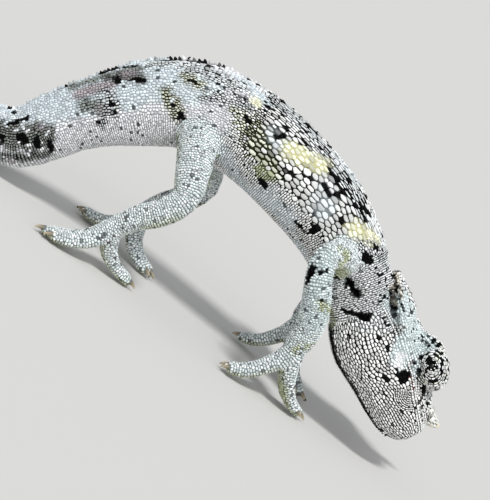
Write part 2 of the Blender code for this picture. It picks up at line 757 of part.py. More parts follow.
def add_crest(obj, track, count, heights, rng):
    """Small crest scales along the top of a length of the body, fused to it."""
    spines = []
    first, last = BODY_SPLITS[obj.name]
    start, end = track.distance(first) + 0.9, track.distance(last) - 0.9
    for step in range(count):
        spot = start + (end - start) * (step + rng.uniform(0.25, 0.75)) / count
        row = track.read(spot)
        heading = track.heading(spot)
        right = unit(UPRIGHT.cross(heading))
        turn = Matrix.Rotation(math.radians(row[6]), 3, heading)
        up = turn @ heading.cross(right)
        height = rng.uniform(*heights) * (TALL_SPINE if step % 5 == 2 else 1.0)
        base = Vector(row[:3]) + up * row[4] * 0.99
        spines.append(spine("spine", base, up + heading * 0.6, height, 0.42 + 0.25 * height))
    combine(obj, spines, "UNION")


def add_gular_crest(jaw, rng):
    """A fringe of small pointed scales along the middle of the chin and throat."""
    spines = []
    for step in range(GULAR_SPINES):
        forward = GULAR_START + GULAR_SPAN * (step + rng.uniform(0.3, 0.7)) / GULAR_SPINES
        base = head_point(forward, head_sizes(forward)[1] * 0.99, 0.0)
        lean = -HEAD_UP + HEAD_FORWARD * 0.25
        spines.append(spine("gular_spine", base, lean, rng.uniform(*GULAR_HEIGHTS), GULAR_RADIUS))
    combine(jaw, spines, "UNION")


def material(name, look):
    colour, roughness = look
    made = bpy.data.materials.new(name)
    made.use_nodes = True
    shader = made.node_tree.nodes["Principled BSDF"]
    shader.inputs["Base Color"].default_value = (*colour, 1.0)
    shader.inputs["Roughness"].default_value = roughness
    shader.inputs["Metallic"].default_value = 0.0
    return made


def stand_on_origin(objects):
    """Parents every piece to one empty, which puts the middle of the whole footprint at the origin."""
    corners = [obj.matrix_world @ Vector(corner) for obj in objects for corner in obj.bound_box]
    low = [min(corner[axis] for corner in corners) for axis in range(2)]
    high = [max(corner[axis] for corner in corners) for axis in range(2)]
    stance = bpy.data.objects.new("stance", None)
    bpy.context.collection.objects.link(stance)
    stance.location = (-(low[0] + high[0]) / 2.0, -(low[1] + high[1]) / 2.0, 0.0)
    for obj in objects:
        obj.parent = stance


def finish(obj, look):
    """Places the object's origin at its middle, shades it smooth and gives it its own material."""
    middle = sum((Vector(corner) for corner in obj.bound_box), Vector()) / 8.0
    obj.data.transform(Matrix.Translation(-middle))
    obj.location = middle
    obj.data.materials.clear()
    obj.data.materials.append(material(obj.name + "_surface", look))
    obj.data.shade_smooth()
    obj.data.set_sharp_from_angle(angle=math.radians(50.0))


def main():
    for obj in list(bpy.data.objects):
        bpy.data.objects.remove(obj)
    track, body = build_body()
    head, jaw = build_head()
    horn = build_horn()
    lobes = []
    for name, sign in (("occipital_lobe_right", 1), ("occipital_lobe_left", -1)):
        lobes.append(combine(build_lobe(name, sign), grown_head(), "DIFFERENCE"))
    turrets = []
    for name, sign in (("eye_turret_right", 1), ("eye_turret_left", -1)):
        turrets.append(build_turret(name, sign))
    grown_lobes = [build_lobe("grown_lobe", sign, GAP) for sign in (1, -1)]
    combine(body["neck"], grown_head() + grown_lobes, "DIFFERENCE")
    rng = random.Random(SEED)
    for name, (count, heights) in CREST_SPINES.items():
        add_crest(body[name], track, count, heights, rng)
    add_gular_crest(jaw, rng)
    legs = []
    fore_limb = (FORE_ROWS, FORE_ELBOW, FORE_OUTER, FORE_INNER)
    hind_limb = (HIND_ROWS, HIND_KNEE, HIND_OUTER, HIND_INNER)
    for side, fore_shift, hind_shift in (("right", None, None), ("left", LEFT_FORE_SHIFT, LEFT_HIND_SHIFT)):
        legs += build_leg("foreleg_" + side, fore_limb, (2, 3), track, fore_shift)
        legs += build_leg("hindleg_" + side, hind_limb, (3, 2), track, hind_shift)
    looks = [(obj, SKIN) for obj in [head, jaw] + list(body.values()) + legs]
    looks += [(obj, PALE_SKIN) for obj in lobes] + [(horn, HORN_COLOUR)]
    for turret, eye in turrets:
        looks += [(turret, SKIN), (eye, EYE)]
    for obj, look in looks:
        finish(obj, look)
    bpy.context.view_layer.update()
    stand_on_origin([obj for obj, look in looks])


main()
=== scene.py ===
"""Looks of a young Meller's chameleon at life size: skin, scales, crests, eyes, horn and claws.

Shapes are worked out in millimetres from a point under the middle of the trunk, as the solids are, with the
animal facing +X and its right side at -Y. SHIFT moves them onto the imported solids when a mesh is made.
"""

import math

import bpy
import numpy as np
from mathutils import Matrix, Vector, noise
from mathutils.bvhtree import BVHTree
from mathutils.kdtree import KDTree


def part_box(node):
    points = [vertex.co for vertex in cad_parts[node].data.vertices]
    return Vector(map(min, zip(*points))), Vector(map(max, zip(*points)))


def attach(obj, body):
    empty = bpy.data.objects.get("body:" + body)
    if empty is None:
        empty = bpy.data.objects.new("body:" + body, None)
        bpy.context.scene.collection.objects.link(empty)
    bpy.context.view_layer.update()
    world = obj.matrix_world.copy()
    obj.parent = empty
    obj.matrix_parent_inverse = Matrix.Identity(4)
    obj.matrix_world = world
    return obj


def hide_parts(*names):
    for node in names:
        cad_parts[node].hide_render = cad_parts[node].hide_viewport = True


MM = 0.001
SEED = 23
UPRIGHT = Vector((0.0, 0.0, 1.0))

# The photograph's view: millimetres a pixel at the animal, the camera's roll and height in degrees,
# its distance, and how far along and below the middle of the frame the animal's own axes meet.
PHOTO_SIZE = (490, 500)
PIXEL = 0.148
VIEW_ROLL = 38.0
VIEW_HEIGHT = 10.0
VIEW_DISTANCE = 330.0
AIM = (330.0, -140.0)
SENSOR = 36.0

# Studio: floor, surroundings, and lights with direction, softness in degrees and strength.
FLOOR_SIZE = 12.0
FLOOR_COLOUR = (0.6, 0.59, 0.57, 1.0)
SKY_COLOUR = (0.93, 0.96, 1.0, 1.0)
SKY_STRENGTH = 0.5
LIGHTS = (("key", (0.05, -0.6, 1.0), 12.0, 2.3), ("fill", (0.3, -1.0, 0.25), 60.0, 1.15))

# Finishes: material slot, roughness and shine.
FINISHES = {
    "scales": ("skin", 0.62, 0.08),
    "skin_between_scales": ("skin", 0.8, 0.04),
    "horn": ("horn", 0.42, 0.35),
    "eyeball": ("eye", 0.07, 0.35),
}

# The body from the back of the head to the tail's tip: centre x, y, z, half width, height above,
# depth below, and the roll of the section in degrees.
BODY_ROWS = (
    (25.2, 0.1, 16.2, 4.3, 4.2, 5.4, 40),
    (21.2, 0.0, 18.8, 4.7, 4.6, 6.1, 36),
    (17.6, 0.0, 21.3, 5.2, 5.5, 6.1, 16),
    (13.8, 0.0, 23.6, 5.6, 5.9, 6.1, 3),
    (9.0, 0.0, 25.7, 5.9, 6.5, 6.6, 0),
    (2.3, 0.0, 27.3, 6.2, 6.8, 7.0, 0),
    (-4.2, 0.0, 28.2, 6.2, 6.8, 7.2, 0),
    (-10.8, 0.0, 27.8, 5.8, 7.0, 7.0, 0),
    (-15.6, 0.0, 26.5, 5.3, 7.0, 6.7, 0),
    (-20.5, 0.0, 23.5, 4.7, 6.7, 6.4, 0),
    (-23.7, 0.0, 20.5, 4.3, 6.3, 6.0, 0),
    (-26.4, 0.0, 17.6, 4.0, 5.5, 5.4, 0),
    (-29.2, 0.0, 13.9, 3.7, 5.1, 5.0, 0),
    (-31.4, 0.0, 10.3, 3.5, 4.9, 4.8, 0),
    (-33.9, 0.1, 6.5, 3.3, 4.5, 4.5, 0),
    (-37.8, 0.6, 4.6, 3.1, 4.1, 4.3, 0),
    (-42.4, 2.2, 3.8, 2.8, 3.6, 3.9, 0),
    (-46.8, 5.2, 3.3, 2.5, 3.1, 3.4, 0),
    (-49.4, 9.4, 2.8, 2.2, 2.6, 2.9, 0),
    (-50.0, 14.0, 2.35, 1.9, 2.2, 2.45, 0),
    (-48.4, 18.2, 1.95, 1.6, 1.8, 2.05, 0),
    (-45.0, 21.0, 1.6, 1.3, 1.45, 1.7, 0),
    (-40.8, 21.7, 1.3, 1.0, 1.1, 1.4, 0),
    (-37.4, 20.0, 1.0, 0.75, 0.8, 1.05, 0),
    (-36.0, 17.2, 0.75, 0.5, 0.55, 0.8, 0),
)
TRUNK_END = 8.6

# The head's own frame: forward to the snout, up through the casque, and out to the animal's right.
NECK_CENTRE = Vector((21.2, 0.0, 18.8))
HEAD_PITCH = -33.0
HEAD_YAW = 1.5
HEAD_ROLL = 40.0
HEAD_ROWS = (
    (0.8, 5.1, -6.6, 4.8),
    (3.2, 6.4, -7.3, 5.2),
    (6.3, 7.2, -7.6, 5.3),
    (9.0, 7.4, -7.0, 5.1),
    (12.0, 6.9, -6.2, 4.8),
    (15.5, 5.6, -5.6, 4.0),
    (18.2, 4.5, -4.8, 3.1),
    (19.8, 3.5, -3.7, 2.3),
    (20.9, 2.4, -2.5, 1.5),
    (21.4, 1.7, -1.3, 0.7),
)
HEAD_WIDEST = -0.4
SNOUT_START = 19.0
HEAD_POWER_ABOVE = 2.4
HEAD_POWER_BELOW = 2.1
MOUTH_LINE = ((21.4, 1.0), (20.8, 0.95), (18.5, 0.4), (15.5, 0.15), (13.6, 0.2), (12.0, 0.25))
OPEN_MOUTH_END = 14.0
CORNER_ARCS = (14.0, 0.0)
CORNER_REACH = 3.3
NOSTRIL = (17.1, 3.0)
# Folds of the mouth, its open corner and the nostrils: half width, depth and half width of the bare strip,
# whose skin is painted black as painted shade in the nostrils and dark red at the mouth's corner.
MOUTH_FOLD = (0.2, 0.2, 0.0)
CORNER_FOLD = (0.14, 0.12, 0.055)
NOSTRIL_FOLD = (0.3, 0.4, 0.2)
TURRET_CENTRE = (12.5, 4.8, 4.65)
TURRET_HALF_LENGTH = 3.5
TURRET_HALF_HEIGHT = 2.5
TURRET_BACK = 3.0
TURRET_FRONT = 3.75
TURRET_LONG_AXIS = (1.0, -0.43, 0.0)
GAZE_RIGHT = (-0.33, -0.61, 0.74)
GAZE_LEFT = (0.42, 0.16, 0.89)
EYE_RADIUS = 0.6
EYE_SINK = 0.5
HORN_ROOT = (17.6, 2.9)
HORN_TIP = (21.9, 5.3)
HORN_BASE_RADIUS = 1.45

# Limbs of the right side: centre x, y, z and radius, from the root to the wrist or ankle.
FORE_ROWS = (
    (15.6, -1.5, 22.4, 2.7), (14.7, -4.8, 22.9, 2.6), (13.3, -8.3, 23.2, 2.3), (12.4, -10.7, 22.0, 2.15),
    (13.3, -11.8, 19.4, 2.15), (15.2, -11.1, 16.4, 2.35), (16.6, -10.1, 13.0, 2.3), (16.9, -9.4, 9.6, 2.1),
)
HIND_ROWS = (
    (-13.6, -1.5, 24.8, 3.2), (-12.2, -5.2, 22.8, 3.1), (-10.2, -8.3, 19.6, 2.7), (-8.7, -10.3, 16.2, 2.25),
    (-10.0, -10.9, 13.1, 2.2), (-12.6, -10.7, 9.8, 2.0), (-14.4, -10.2, 6.6, 1.7),
)
FORE_OUTER = (
    (16.9, -9.4, 9.4), (16.4, -9.7, 6.8), (15.0, -10.1, 4.2), (13.2, -10.6, 2.1), (10.9, -11.2, 1.0),
)
FORE_INNER = (
    (16.9, -9.2, 9.2), (17.8, -8.6, 6.4), (19.2, -7.6, 3.6), (21.0, -6.6, 1.8), (23.0, -5.9, 1.0),
)
HIND_OUTER = (
    (-14.4, -10.2, 6.4), (-15.6, -10.9, 4.2), (-17.4, -11.8, 2.4), (-19.6, -12.8, 1.4), (-21.6, -13.5, 1.0),
)
HIND_INNER = (
    (-14.3, -10.1, 6.2), (-13.5, -9.2, 4.0), (-12.0, -8.2, 2.3), (-10.0, -7.2, 1.4), (-8.2, -6.5, 1.0),
)
# The horn's width as a share of its base's, at shares of its length.
HORN_SHARES = (0.0, 0.45, 0.62, 0.8, 0.93, 1.0)
HORN_WIDTHS = (1.0, 0.98, 0.84, 0.62, 0.42, 0.18)
# The cell of the horn's remesh, and the depth of its granules.
HORN_CELL = 0.14
HORN_COAT = 0.14
# Granules of the horn: spacing along it and round it, and their size.
HORN_PITCHES = (0.6, 0.68)
HORN_GRANULE = 0.35
# Knobs of the horn: share of its length, degrees round it from the animal's right, radius.
HORN_KNOBS = (
    (0.96, 0, 0.46), (0.8, -80, 0.4), (0.5, -75, 0.46),
    (0.62, -20, 0.42), (0.74, 60, 0.4), (0.42, 30, 0.44),
)
# Black rays round the eye: degrees from the turret's long axis towards its short one, and length.
EYE_RAYS = ((163, 1.65), (215, 1.1), (286, 1.3), (340, 1.45), (57, 1.2), (122, 1.1))
RAY_HALF_WIDTH = 0.22
STAR_RADIUS = 1.1
LID_RADIUS = 0.66
LID_RISE = 0.3
LID_THICKNESS = 0.24
# Rings of granules on a lid: distance from the eye's axis, height along it, and count.
LID_RINGS = ((LID_RADIUS - 0.08, 0.62, 13), (LID_RADIUS + 0.2, 0.5, 18))
GULAR_START = 1.8
GULAR_SPAN = 17.5
GULAR_STEP = 0.46
# The crest of the back: rows of the body where it starts, grows taller and ends.
CREST_ROWS = (1.6, 7.5, 19.0)
# Its cones: level as a share of their height and width there, and how many sides they have.
CONE_LEVELS = ((-0.35, 1.0), (0.3, 0.86), (0.7, 0.5), (1.0, 0.08))
CONE_SIDES = 7
TOE_ROOT_RADIUS = 1.75
TOE_TIP_RADIUS = 1.0
TOE_SPREAD = (0.55, 1.15)
# A toe's length as a share of its bundle's, and how much less of it each toe off the middle has.
TOE_LENGTH = 0.9
TOE_SHORTENING = 0.12
TOE_STEPS = 6
CLAW_LENGTH = 1.3
CLAW_RADIUS = 0.46
# How far scales keep from the middle of a claw and of an eye.
CLAW_ROOM = 0.52
EYE_ROOM = 0.98
LEFT_FORE_SHIFT = (-1.6, 0.4)
LEFT_HIND_SHIFT = (1.4, 0.6)

# Skin: how far the solids are swelled to close the gaps between them, the remesh's cell, rounds of
# smoothing with the share of each pull and push back, and how far the finished skin lies under the
# solids' surface, which is the scales' depth.
SWELL = 0.22
SKIN_CELL = 0.28
SMOOTHING = 8
SMOOTHING_STEPS = (0.5, -0.52)
COAT_DEPTH = 0.2

# Scales: corners of each, neighbours that shape it, how far its foot is sunk, the dark gap round it
# between scales of one row and between rows, and the half size of its patch on the unwrap.
CORNERS = 8
NEIGHBOURS = 14
FOOT_DEPTH = 0.07
GAP_IN_ROW = 0.022
GAP_BETWEEN_ROWS = 0.09
PATCH = 0.0015
# The corners of four-cornered faces in the opposite order.
OTHER_WAY = [0, 3, 2, 1]

# Scales on the head: where its rows start and end and what their unwrap is divided by, how many rows on
# jaw and crown, spacing along them, slant in degrees a mm and where it starts.
HEAD_SPAN = (0.4, 21.5)
HEAD_UNWRAP = 22.0
JAW_ROWS = 38
JAW_PITCH = 0.66
JAW_SLANT = 5.0
JAW_SLANT_START = 9.0
CROWN_ROWS = 52
CROWN_PITCH = 0.37
# Round the mouth's corner: where its arcs start and over how many degrees they go, spacing between arcs
# and along them, and the scales' size. On the lips: spacing, distance from the mouth and size.
CORNER_SPAN = (-25.0, 112.0)
CORNER_PITCHES = (0.29, 0.4)
CORNER_SIZE = 0.165
LIP_PITCH = 0.46
LIP_RISE = 0.27
LIP_SIZE = 0.22
# The part name of roots that carry no scale, the size of granules, the size above which a scale is a large
# one, and how far forward the front flank starts.
BARE = "bare"
GRANULE = 0.25
LARGE_SCALE = 0.36
FRONT_FLANK = 1.0
# How far from the skin a root may start, how close two roots may stand as a share of their sizes, the
# same for granules that fill a bare place, and how far from a lid or the horn its roots may start.
ROOT_REACH = 0.75
CLOSENESS = 0.76
GRANULE_CLOSENESS = 0.8
SMALL_PIECE_REACH = 0.4
# The body's row behind which the scales are fine.
REAR_ROW = 6.6
MOST_SCALES_A_PIECE = 4900

# Zones of the body's section in degrees, 90 at the top, and the spacing of scales along the body and round
# it. Back and flank have two of each, the right zone and the left one, and the front spacing and the rear
# one. A slant is how far each row is shifted against the last, as a share of the spacing, and the flank's
# slants and jitters are again those of front and rear.
ALL_ROUND = (0.0, 360.0)
BACK_ZONES = ((42.0, 90.0), (90.0, 138.0))
BACK_PITCHES = ((1.0, 0.44), (0.48, 0.34))
BACK_SLANTS = (0.13, -0.13)
FLANK_ZONES = ((-14.0, 42.0), (138.0, 194.0))
FLANK_PITCHES = ((1.06, 0.76), (0.38, 0.34))
FLANK_SLANTS = (0.4, 0.0)
FLANK_JITTERS = (0.09, 0.14)
BELLY_ZONE = (194.0, 346.0)
BELLY_PITCH = (0.36, 0.46)
NAPE_PITCH = (0.4, 0.42)
NECK_PITCH = (0.3, 0.5)
TAIL_TOP_ZONE = (-10.0, 190.0)
TAIL_BOTTOM_ZONE = (190.0, 350.0)
TAIL_STEP = 6.0
# Limbs and toes: spacing, and a direction that sets where round them the angles start.
LIMB_PITCH = (0.34, 0.38)
LIMB_HINT = (1.0, 0.3, 0.1)
TOE_PITCH = (0.42, 0.44)
TOE_HINT = (0.1, 0.2, 1.0)
# Granules of a turret: degrees from its axis to the first ring and the last, radians between rings, and
# spacing in a ring.
TURRET_RINGS = (18.0, 122.0)
TURRET_RING_STEP = 0.46 / 3.3
TURRET_PITCH = 0.56
# How wide the gaps round the scales of some parts are, as a share of the usual ones.
GAP_SHARES = (("leg", 0.6), ("neck", 0.7), ("turret", 1.3), ("tail", 0.65))

# Folds and slits of the skin: which part they mirror with, half width, depth, half width of the bare strip in
# them, and places in the photograph. The bare strip's skin is painted black: painted shade in the fold.
GROOVES = (
    ("head", 0.22, 0.5, 0.1, ((394.5, 274), (395.6, 282), (397, 291), (399, 296), (401, 303), (403.6, 309))),
    ("head", 0.2, 0.3, 0.14, ((401.8, 304), (403.4, 308), (404.4, 311))),
    ("head", 0.3, 0.7, 0.12, ((390.5, 289), (390.8, 295), (392, 303), (393, 312), (393.5, 317))),
    ("head", 0.45, 0.6, 0.36, ((392.2, 302), (393.1, 308), (393.8, 314))),
    ("head", 0.2, 0.3, 0.1, ((399, 285), (400.6, 288), (402.9, 292))),
    ("body", 0.7, 1.1, 0.42, ((348, 281), (352, 288), (357, 295))),
    ("body", 0.5, 0.6, 0.24, ((356, 314), (363, 317), (369, 319))),
    ("body", 0.3, 0.3, 0.0, ((340, 309), (348, 312), (356, 314))),
    ("body", 0.4, 0.5, 0.12, ((300, 290), (308, 279), (314, 268))),
    ("body", 0.3, 0.3, 0.0, ((314, 262), (318, 252), (326, 246))),
    ("body", 0.25, 0.25, 0.0, ((312, 275), (320, 274), (328, 270))),
    ("body", 0.25, 0.25, 0.0, ((316, 300), (323, 301), (331, 306))),
    ("body", 0.25, 0.2, 0.0, ((218, 98), (224, 90), (231, 86))),
    ("body", 0.25, 0.2, 0.0, ((222, 108), (228, 97), (236, 90))),
)

# Colours of the scales and of the skin in the gaps between them, and how wide the gaps are made.
LOOKS = {
    "pale": ((240, 241, 238), (20, 19, 18), 1.0),
    "blue_white": ((224, 234, 239), (160, 169, 172), 1.0),
    "white": ((253, 253, 252), (206, 210, 210), 0.7),
    "turquoise": ((224, 235, 235), (138, 149, 150), 1.0),
    "lilac_white": ((236, 237, 240), (166, 165, 169), 1.0),
    "lemon": ((251, 251, 222), (190, 188, 142), 0.7),
    "green": ((198, 204, 172), (70, 78, 36), 1.1),
    "olive": ((222, 224, 206), (34, 38, 16), 2.3),
    "slit": ((226, 230, 230), (14, 14, 13), 1.9),
    "band": ((132, 136, 132), (12, 13, 10), 1.3),
    "dusky": ((120, 122, 118), (10, 10, 9), 1.4),
    "mauve": ((190, 182, 186), (104, 98, 102), 1.0),
    "mottle": ((150, 156, 152), (36, 40, 36), 1.1),
    "ash": ((226, 229, 229), (74, 75, 73), 1.0),
    "cream": ((240, 230, 212), (184, 172, 150), 0.7),
    "red": ((150, 92, 84), (84, 50, 46), 1.0),
    "black": ((7, 7, 8), (2, 2, 2), 1.0),
}

# What the photograph shows: look, which part it mirrors with, and strokes, each a radius and its places
# in pixels. TINTS are broad and lie under the scattered dark scales; MARKS lie over them. Some black MARKS
# are painted shade in slits, hollows and a nostril.
TINTS = (
    ("blue_white", "body", (
        (17, (38, 112), (62, 102), (82, 100)), (20, (112, 92), (150, 84), (205, 84)),
        (7, (236, 78), (250, 86), (266, 102)),
    )),
    ("slit", "body", ((12, (272, 96), (310, 128), (342, 172), (358, 204)),)),
    ("ash", "body", ((26, (368, 290), (372, 310)),)),
    ("turquoise", "head", ((16, (400, 300), (412, 322), (420, 342)), (12, (405, 345), (400, 356)))),
    ("white", "head", ((5.5, (401, 357), (399, 363)),)),
    ("turquoise", "body", ((15, (322, 258), (326, 285), (318, 320)),)),
    ("olive", "body", ((13, (243, 112), (256, 140), (266, 172)),)),
)
MARKS = (
    ("slit", "body", ((10, (186, 68), (206, 70), (240, 86)), (7, (206, 96), (230, 98), (250, 106)))),
    ("mauve", "body", ((6, (78, 94), (96, 88), (112, 84)),)),
    ("mottle", "body", ((6, (72, 87), (98, 78), (118, 73), (138, 69)), (7, (84, 104), (100, 108)))),
    ("slit", "body", ((9, (104, 96), (112, 108), (106, 122)), (5, (150, 64), (176, 62)))),
    ("band", "body", ((14, (0, 132), (18, 138), (42, 136)), (6, (0, 156), (22, 158), (46, 154)))),
    ("dusky", "body", ((6, (108, 77), (128, 76), (141, 79)),)),
    ("mauve", "body", ((4, (124, 74), (132, 73)),)),
    ("olive", "body", ((8, (166, 94), (174, 106), (178, 115)), (6, (186, 78), (200, 84)))),
    ("green", "body", ((6, (258, 168), (268, 174)),)),
    ("lemon", "body", (
        (9, (290, 150), (303, 156), (324, 166)), (8, (355, 229), (366, 235), (376, 241)),
        (4, (255, 100), (258, 103)),
    )),
    ("green", "body", (
        (5, (342, 250), (348, 256), (338, 268)), (5, (321, 306), (330, 311), (333, 322)),
        (4, (296, 350), (312, 346), (324, 338)),
    )),
    ("slit", "body", ((8, (364, 246), (378, 250), (387, 258)),)),
    ("cream", "head", (
        (2, (392.6, 288), (394.2, 297), (397, 303)), (1.8, (396.4, 274), (398, 283)),
        (2, (400.4, 290), (402, 296)),
    )),
    # The black strokes below lie in the slits beside the casque's rear flaps: painted shade in these folds.
    ("black", "head", (
        (1, (390.6, 289), (390.6, 299)), (2.5, (391.8, 303), (393.4, 309), (393.6, 315.6)),
        (1.1, (394.4, 274), (395.6, 283), (397.6, 293), (399.8, 300)), (1.4, (402.8, 305), (404.2, 310.6)),
        (1, (398.6, 285.6), (400.4, 288.6), (403, 292)),
    )),
    ("mauve", "body", ((3, (40, 126), (41, 127)), (3, (99, 108), (99, 109)), (3, (10, 161), (10, 160)))),
    ("black", "body", (
        (4.2, (117, 80), (118, 80)), (2.2, (133, 79), (144, 81)), (2.4, (111, 103), (112, 104)),
        (2, (97, 122), (98, 123)), (2.2, (114, 112), (115, 113)), (4, (21, 136), (24, 140)),
        (3.4, (36, 139), (38, 146)), (3, (50, 142), (52, 150)), (3.6, (21, 171), (26, 168)),
        (3.2, (1, 137), (2, 141)), (2.4, (14, 112), (16, 113)), (2.2, (8, 124), (28, 118)),
        (1.9, (98, 74), (112, 70), (124, 67.5), (138, 65.5)),
        (1.5, (158, 61), (178, 60.5), (200, 62), (218, 66)), (1.6, (71, 86), (74, 85)),
        (2.6, (172, 104), (173, 106)), (3.2, (181, 114), (182, 118)), (1.8, (190, 80), (197, 84)),
        (1.8, (202, 62), (212, 67)), (1.6, (215, 83), (221, 87)), (2.4, (246, 118), (250, 122)),
        (2.4, (253, 147), (256, 149)), (2.2, (266, 105), (270, 108)), (2.5, (280, 132), (284, 136)),
        (2, (303, 140), (311, 148)), (2.2, (272, 152), (275, 156)), (4, (262, 181), (264, 186)),
        (1.6, (240, 96), (248, 100)), (1.6, (283, 101), (290, 107)), (2.4, (320, 184), (328, 191)),
        (2, (330, 175), (337, 183)), (2, (327, 165), (329, 168)), (1.9, (349, 213), (355, 219)),
        (3.7, (315, 227), (312, 231)), (1.7, (305, 231), (299, 226), (295, 222)),
        (1.5, (340, 219), (342, 222)), (2.6, (374, 246), (377, 249)), (5, (366, 257), (370, 260)),
        # The strokes at (349, 281) and (312, 268) paint the hollow in front of the shoulder and the one
        # behind the elbow black: painted shade.
        (2, (361, 204), (366, 212)), (4.6, (349, 281), (352, 287), (357, 294)),
        (4.4, (359, 316), (366, 317)), (2, (342, 309), (352, 313)), (3.6, (312, 268), (309, 280)),
        (2.2, (320, 273), (326, 271)), (2, (319, 300), (323, 301)), (1.4, (333, 297), (334, 298)),
        (1.8, (337, 277), (339, 279)),
    )),
    ("black", "head", ((1.6, (411, 311), (412, 313)),)),
    ("turquoise", "head", ((4, (414, 352), (416.5, 362), (415, 371)),)),
    ("black", "head", (
        (4.8, (401, 378), (401.6, 379)), (1, (394.6, 369), (399, 370.6)),
        (1.6, (400, 371.6), (405, 372.2), (409.6, 374.8)), (2, (389, 366.4), (389.8, 368)),
        (2.4, (384.4, 376), (386, 379.6)), (2.8, (416.6, 372.6), (420.4, 370)),
        (2.4, (420, 358), (420.6, 359.4)), (2, (412.4, 362), (414, 363.4)),
        (1.2, (427.2, 342), (428, 349)), (1.6, (421.6, 335), (422.8, 342)),
        (1.4, (433, 338.6), (435.4, 340)), (1, (433.5, 344.4), (440.5, 345.6)),
        (1.2, (443.4, 347.6), (446.8, 349.4)), (1.5, (441, 351.6), (442, 353)),
        (1.5, (447.4, 356), (448.6, 358.4)), (2.6, (422.4, 388), (424.6, 391)),
        (1.4, (368, 375), (369, 377)), (1.3, (416.4, 402.6), (414.6, 409)),
        # The stroke from (428.4, 402) paints the nostril's opening black: painted shade in the hole.
        (1.3, (428.4, 402), (426.4, 408)), (1.6, (377, 336), (378, 338)), (1.4, (388, 348), (388, 350)),
    )),
)


TURN = 2.0 * math.pi


def unit(vector):
    return Vector(vector).normalized()


def around(side, up, angle):
    """The direction at an angle from side towards up."""
    return side * math.cos(angle) + up * math.sin(angle)


def head_axes():
    """Forward, up and right of the head, after its pitch, yaw and roll."""
    pitch, yaw, roll = (math.radians(angle) for angle in (HEAD_PITCH, HEAD_YAW, HEAD_ROLL))
    forward = Vector((math.cos(pitch) * math.cos(yaw), math.cos(pitch) * math.sin(yaw), math.sin(pitch)))
    right = unit(forward.cross(UPRIGHT))
    up = right.cross(forward)
    return forward, up * math.cos(roll) - right * math.sin(roll), right * math.cos(roll) + up * math.sin(roll)


HEAD_FORWARD, HEAD_UP, HEAD_RIGHT = head_axes()
HEAD_BASIS = np.array([HEAD_FORWARD, HEAD_UP, HEAD_RIGHT])


def head_point(forward, up, out):
    return NECK_CENTRE + HEAD_FORWARD * forward + HEAD_UP * up + HEAD_RIGHT * out


def head_direction(forward, up, out):
    return unit(HEAD_FORWARD * forward + HEAD_UP * up + HEAD_RIGHT * out)


def in_head(points):
    """Points in the head's own frame: forward, up and out."""
    return (points - np.array(NECK_CENTRE)) @ HEAD_BASIS.T


def turret_centre(sign):
    forward, up, out = TURRET_CENTRE
    return head_point(forward, up, out * sign)


def gaze(sign):
    forward, up, out = GAZE_RIGHT if sign > 0 else GAZE_LEFT
    return head_direction(forward, up, out * sign)


def eye_centre(sign):
    return turret_centre(sign) + gaze(sign) * (TURRET_FRONT - EYE_SINK)


def turret_axes(sign):
    """Where the turret looks, its long axis and its short one."""
    axis = gaze(sign)
    forward, up, out = TURRET_LONG_AXIS
    long_axis = head_direction(forward, up, out * sign)
    long_axis = unit(long_axis - axis * long_axis.dot(axis))
    return axis, long_axis, long_axis.cross(axis) * sign


def eye_star(points, sign):
    """Which points lie on the black rays round an eye, and how far each is from the eye's middle."""
    axis, long_axis, short_axis = turret_axes(sign)
    local = points - np.array(eye_centre(sign))
    x, y = local @ np.array(long_axis), local @ np.array(short_axis)
    black = np.zeros(len(points), dtype=bool)
    for degrees, length in EYE_RAYS:
        cosine, sine = math.cos(math.radians(degrees)), math.sin(math.radians(degrees))
        along = x * cosine + y * sine
        across = np.abs(y * cosine - x * sine)
        black |= (along > 0.0) & (along < length) & (across < RAY_HALF_WIDTH)
    return black, np.hypot(x, y)


class Track:
    """Rows of numbers joined by a smooth curve, read by distance along the first columns."""

    def __init__(self, rows, place_columns=3):
        self.rows = np.array(rows, dtype=float)
        steps = np.linalg.norm(np.diff(self.rows[:, :place_columns], axis=0), axis=1)
        self.at = np.concatenate(([0.0], np.cumsum(steps)))
        self.slopes = np.gradient(self.rows, self.at, axis=0)
        self.length = float(self.at[-1])

    def distance(self, row_number):
        return float(np.interp(row_number, range(len(self.at)), self.at))

    def read(self, distance):
        index = int(np.clip(np.searchsorted(self.at, distance) - 1, 0, len(self.at) - 2))
        span = self.at[index + 1] - self.at[index]
        t = (distance - self.at[index]) / span
        if t < 0.0 or t > 1.0:
            end = index if t < 0.0 else index + 1
            return self.rows[end] + self.slopes[end] * (distance - self.at[end])
        smooth = t * t * (3.0 - 2.0 * t)
        lead = t * (1.0 - t) ** 2 * span
        trail = t * t * (t - 1.0) * span
        base = self.rows[index] * (1.0 - smooth) + self.rows[index + 1] * smooth
        return base + self.slopes[index] * lead + self.slopes[index + 1] * trail

    def heading(self, distance):
        return unit((self.read(distance + 0.05) - self.read(distance - 0.05))[:3])

    def frame(self, distance, hint):
        """Centre, heading, right and up at a distance, and the half width, height and depth there."""
        row = self.read(distance)
        heading = self.heading(distance)
        right = unit(Vector(hint).cross(heading))
        up = heading.cross(right)
        if len(row) == 4:
            sizes = (row[3], row[3], row[3])
        else:
            sizes = row[3:6]
            turn = Matrix.Rotation(math.radians(row[6]), 3, heading)
            right, up = turn @ right, turn @ up
        return Vector(row[:3]), heading, right, up, sizes


BODY_TRACK = Track(BODY_ROWS)
HEAD_TRACK = Track([(row[0], 0.0, 0.0) + row[1:] for row in HEAD_ROWS], 1)


def head_sizes(forward):
    """Top, bottom, half width and widest level of the head at a distance forward."""
    top, bottom, half_width = HEAD_TRACK.read(forward - HEAD_ROWS[0][0])[3:6]
    widest = HEAD_WIDEST if forward < SNOUT_START else (top + bottom) / 2.0
    return top, bottom, half_width, widest


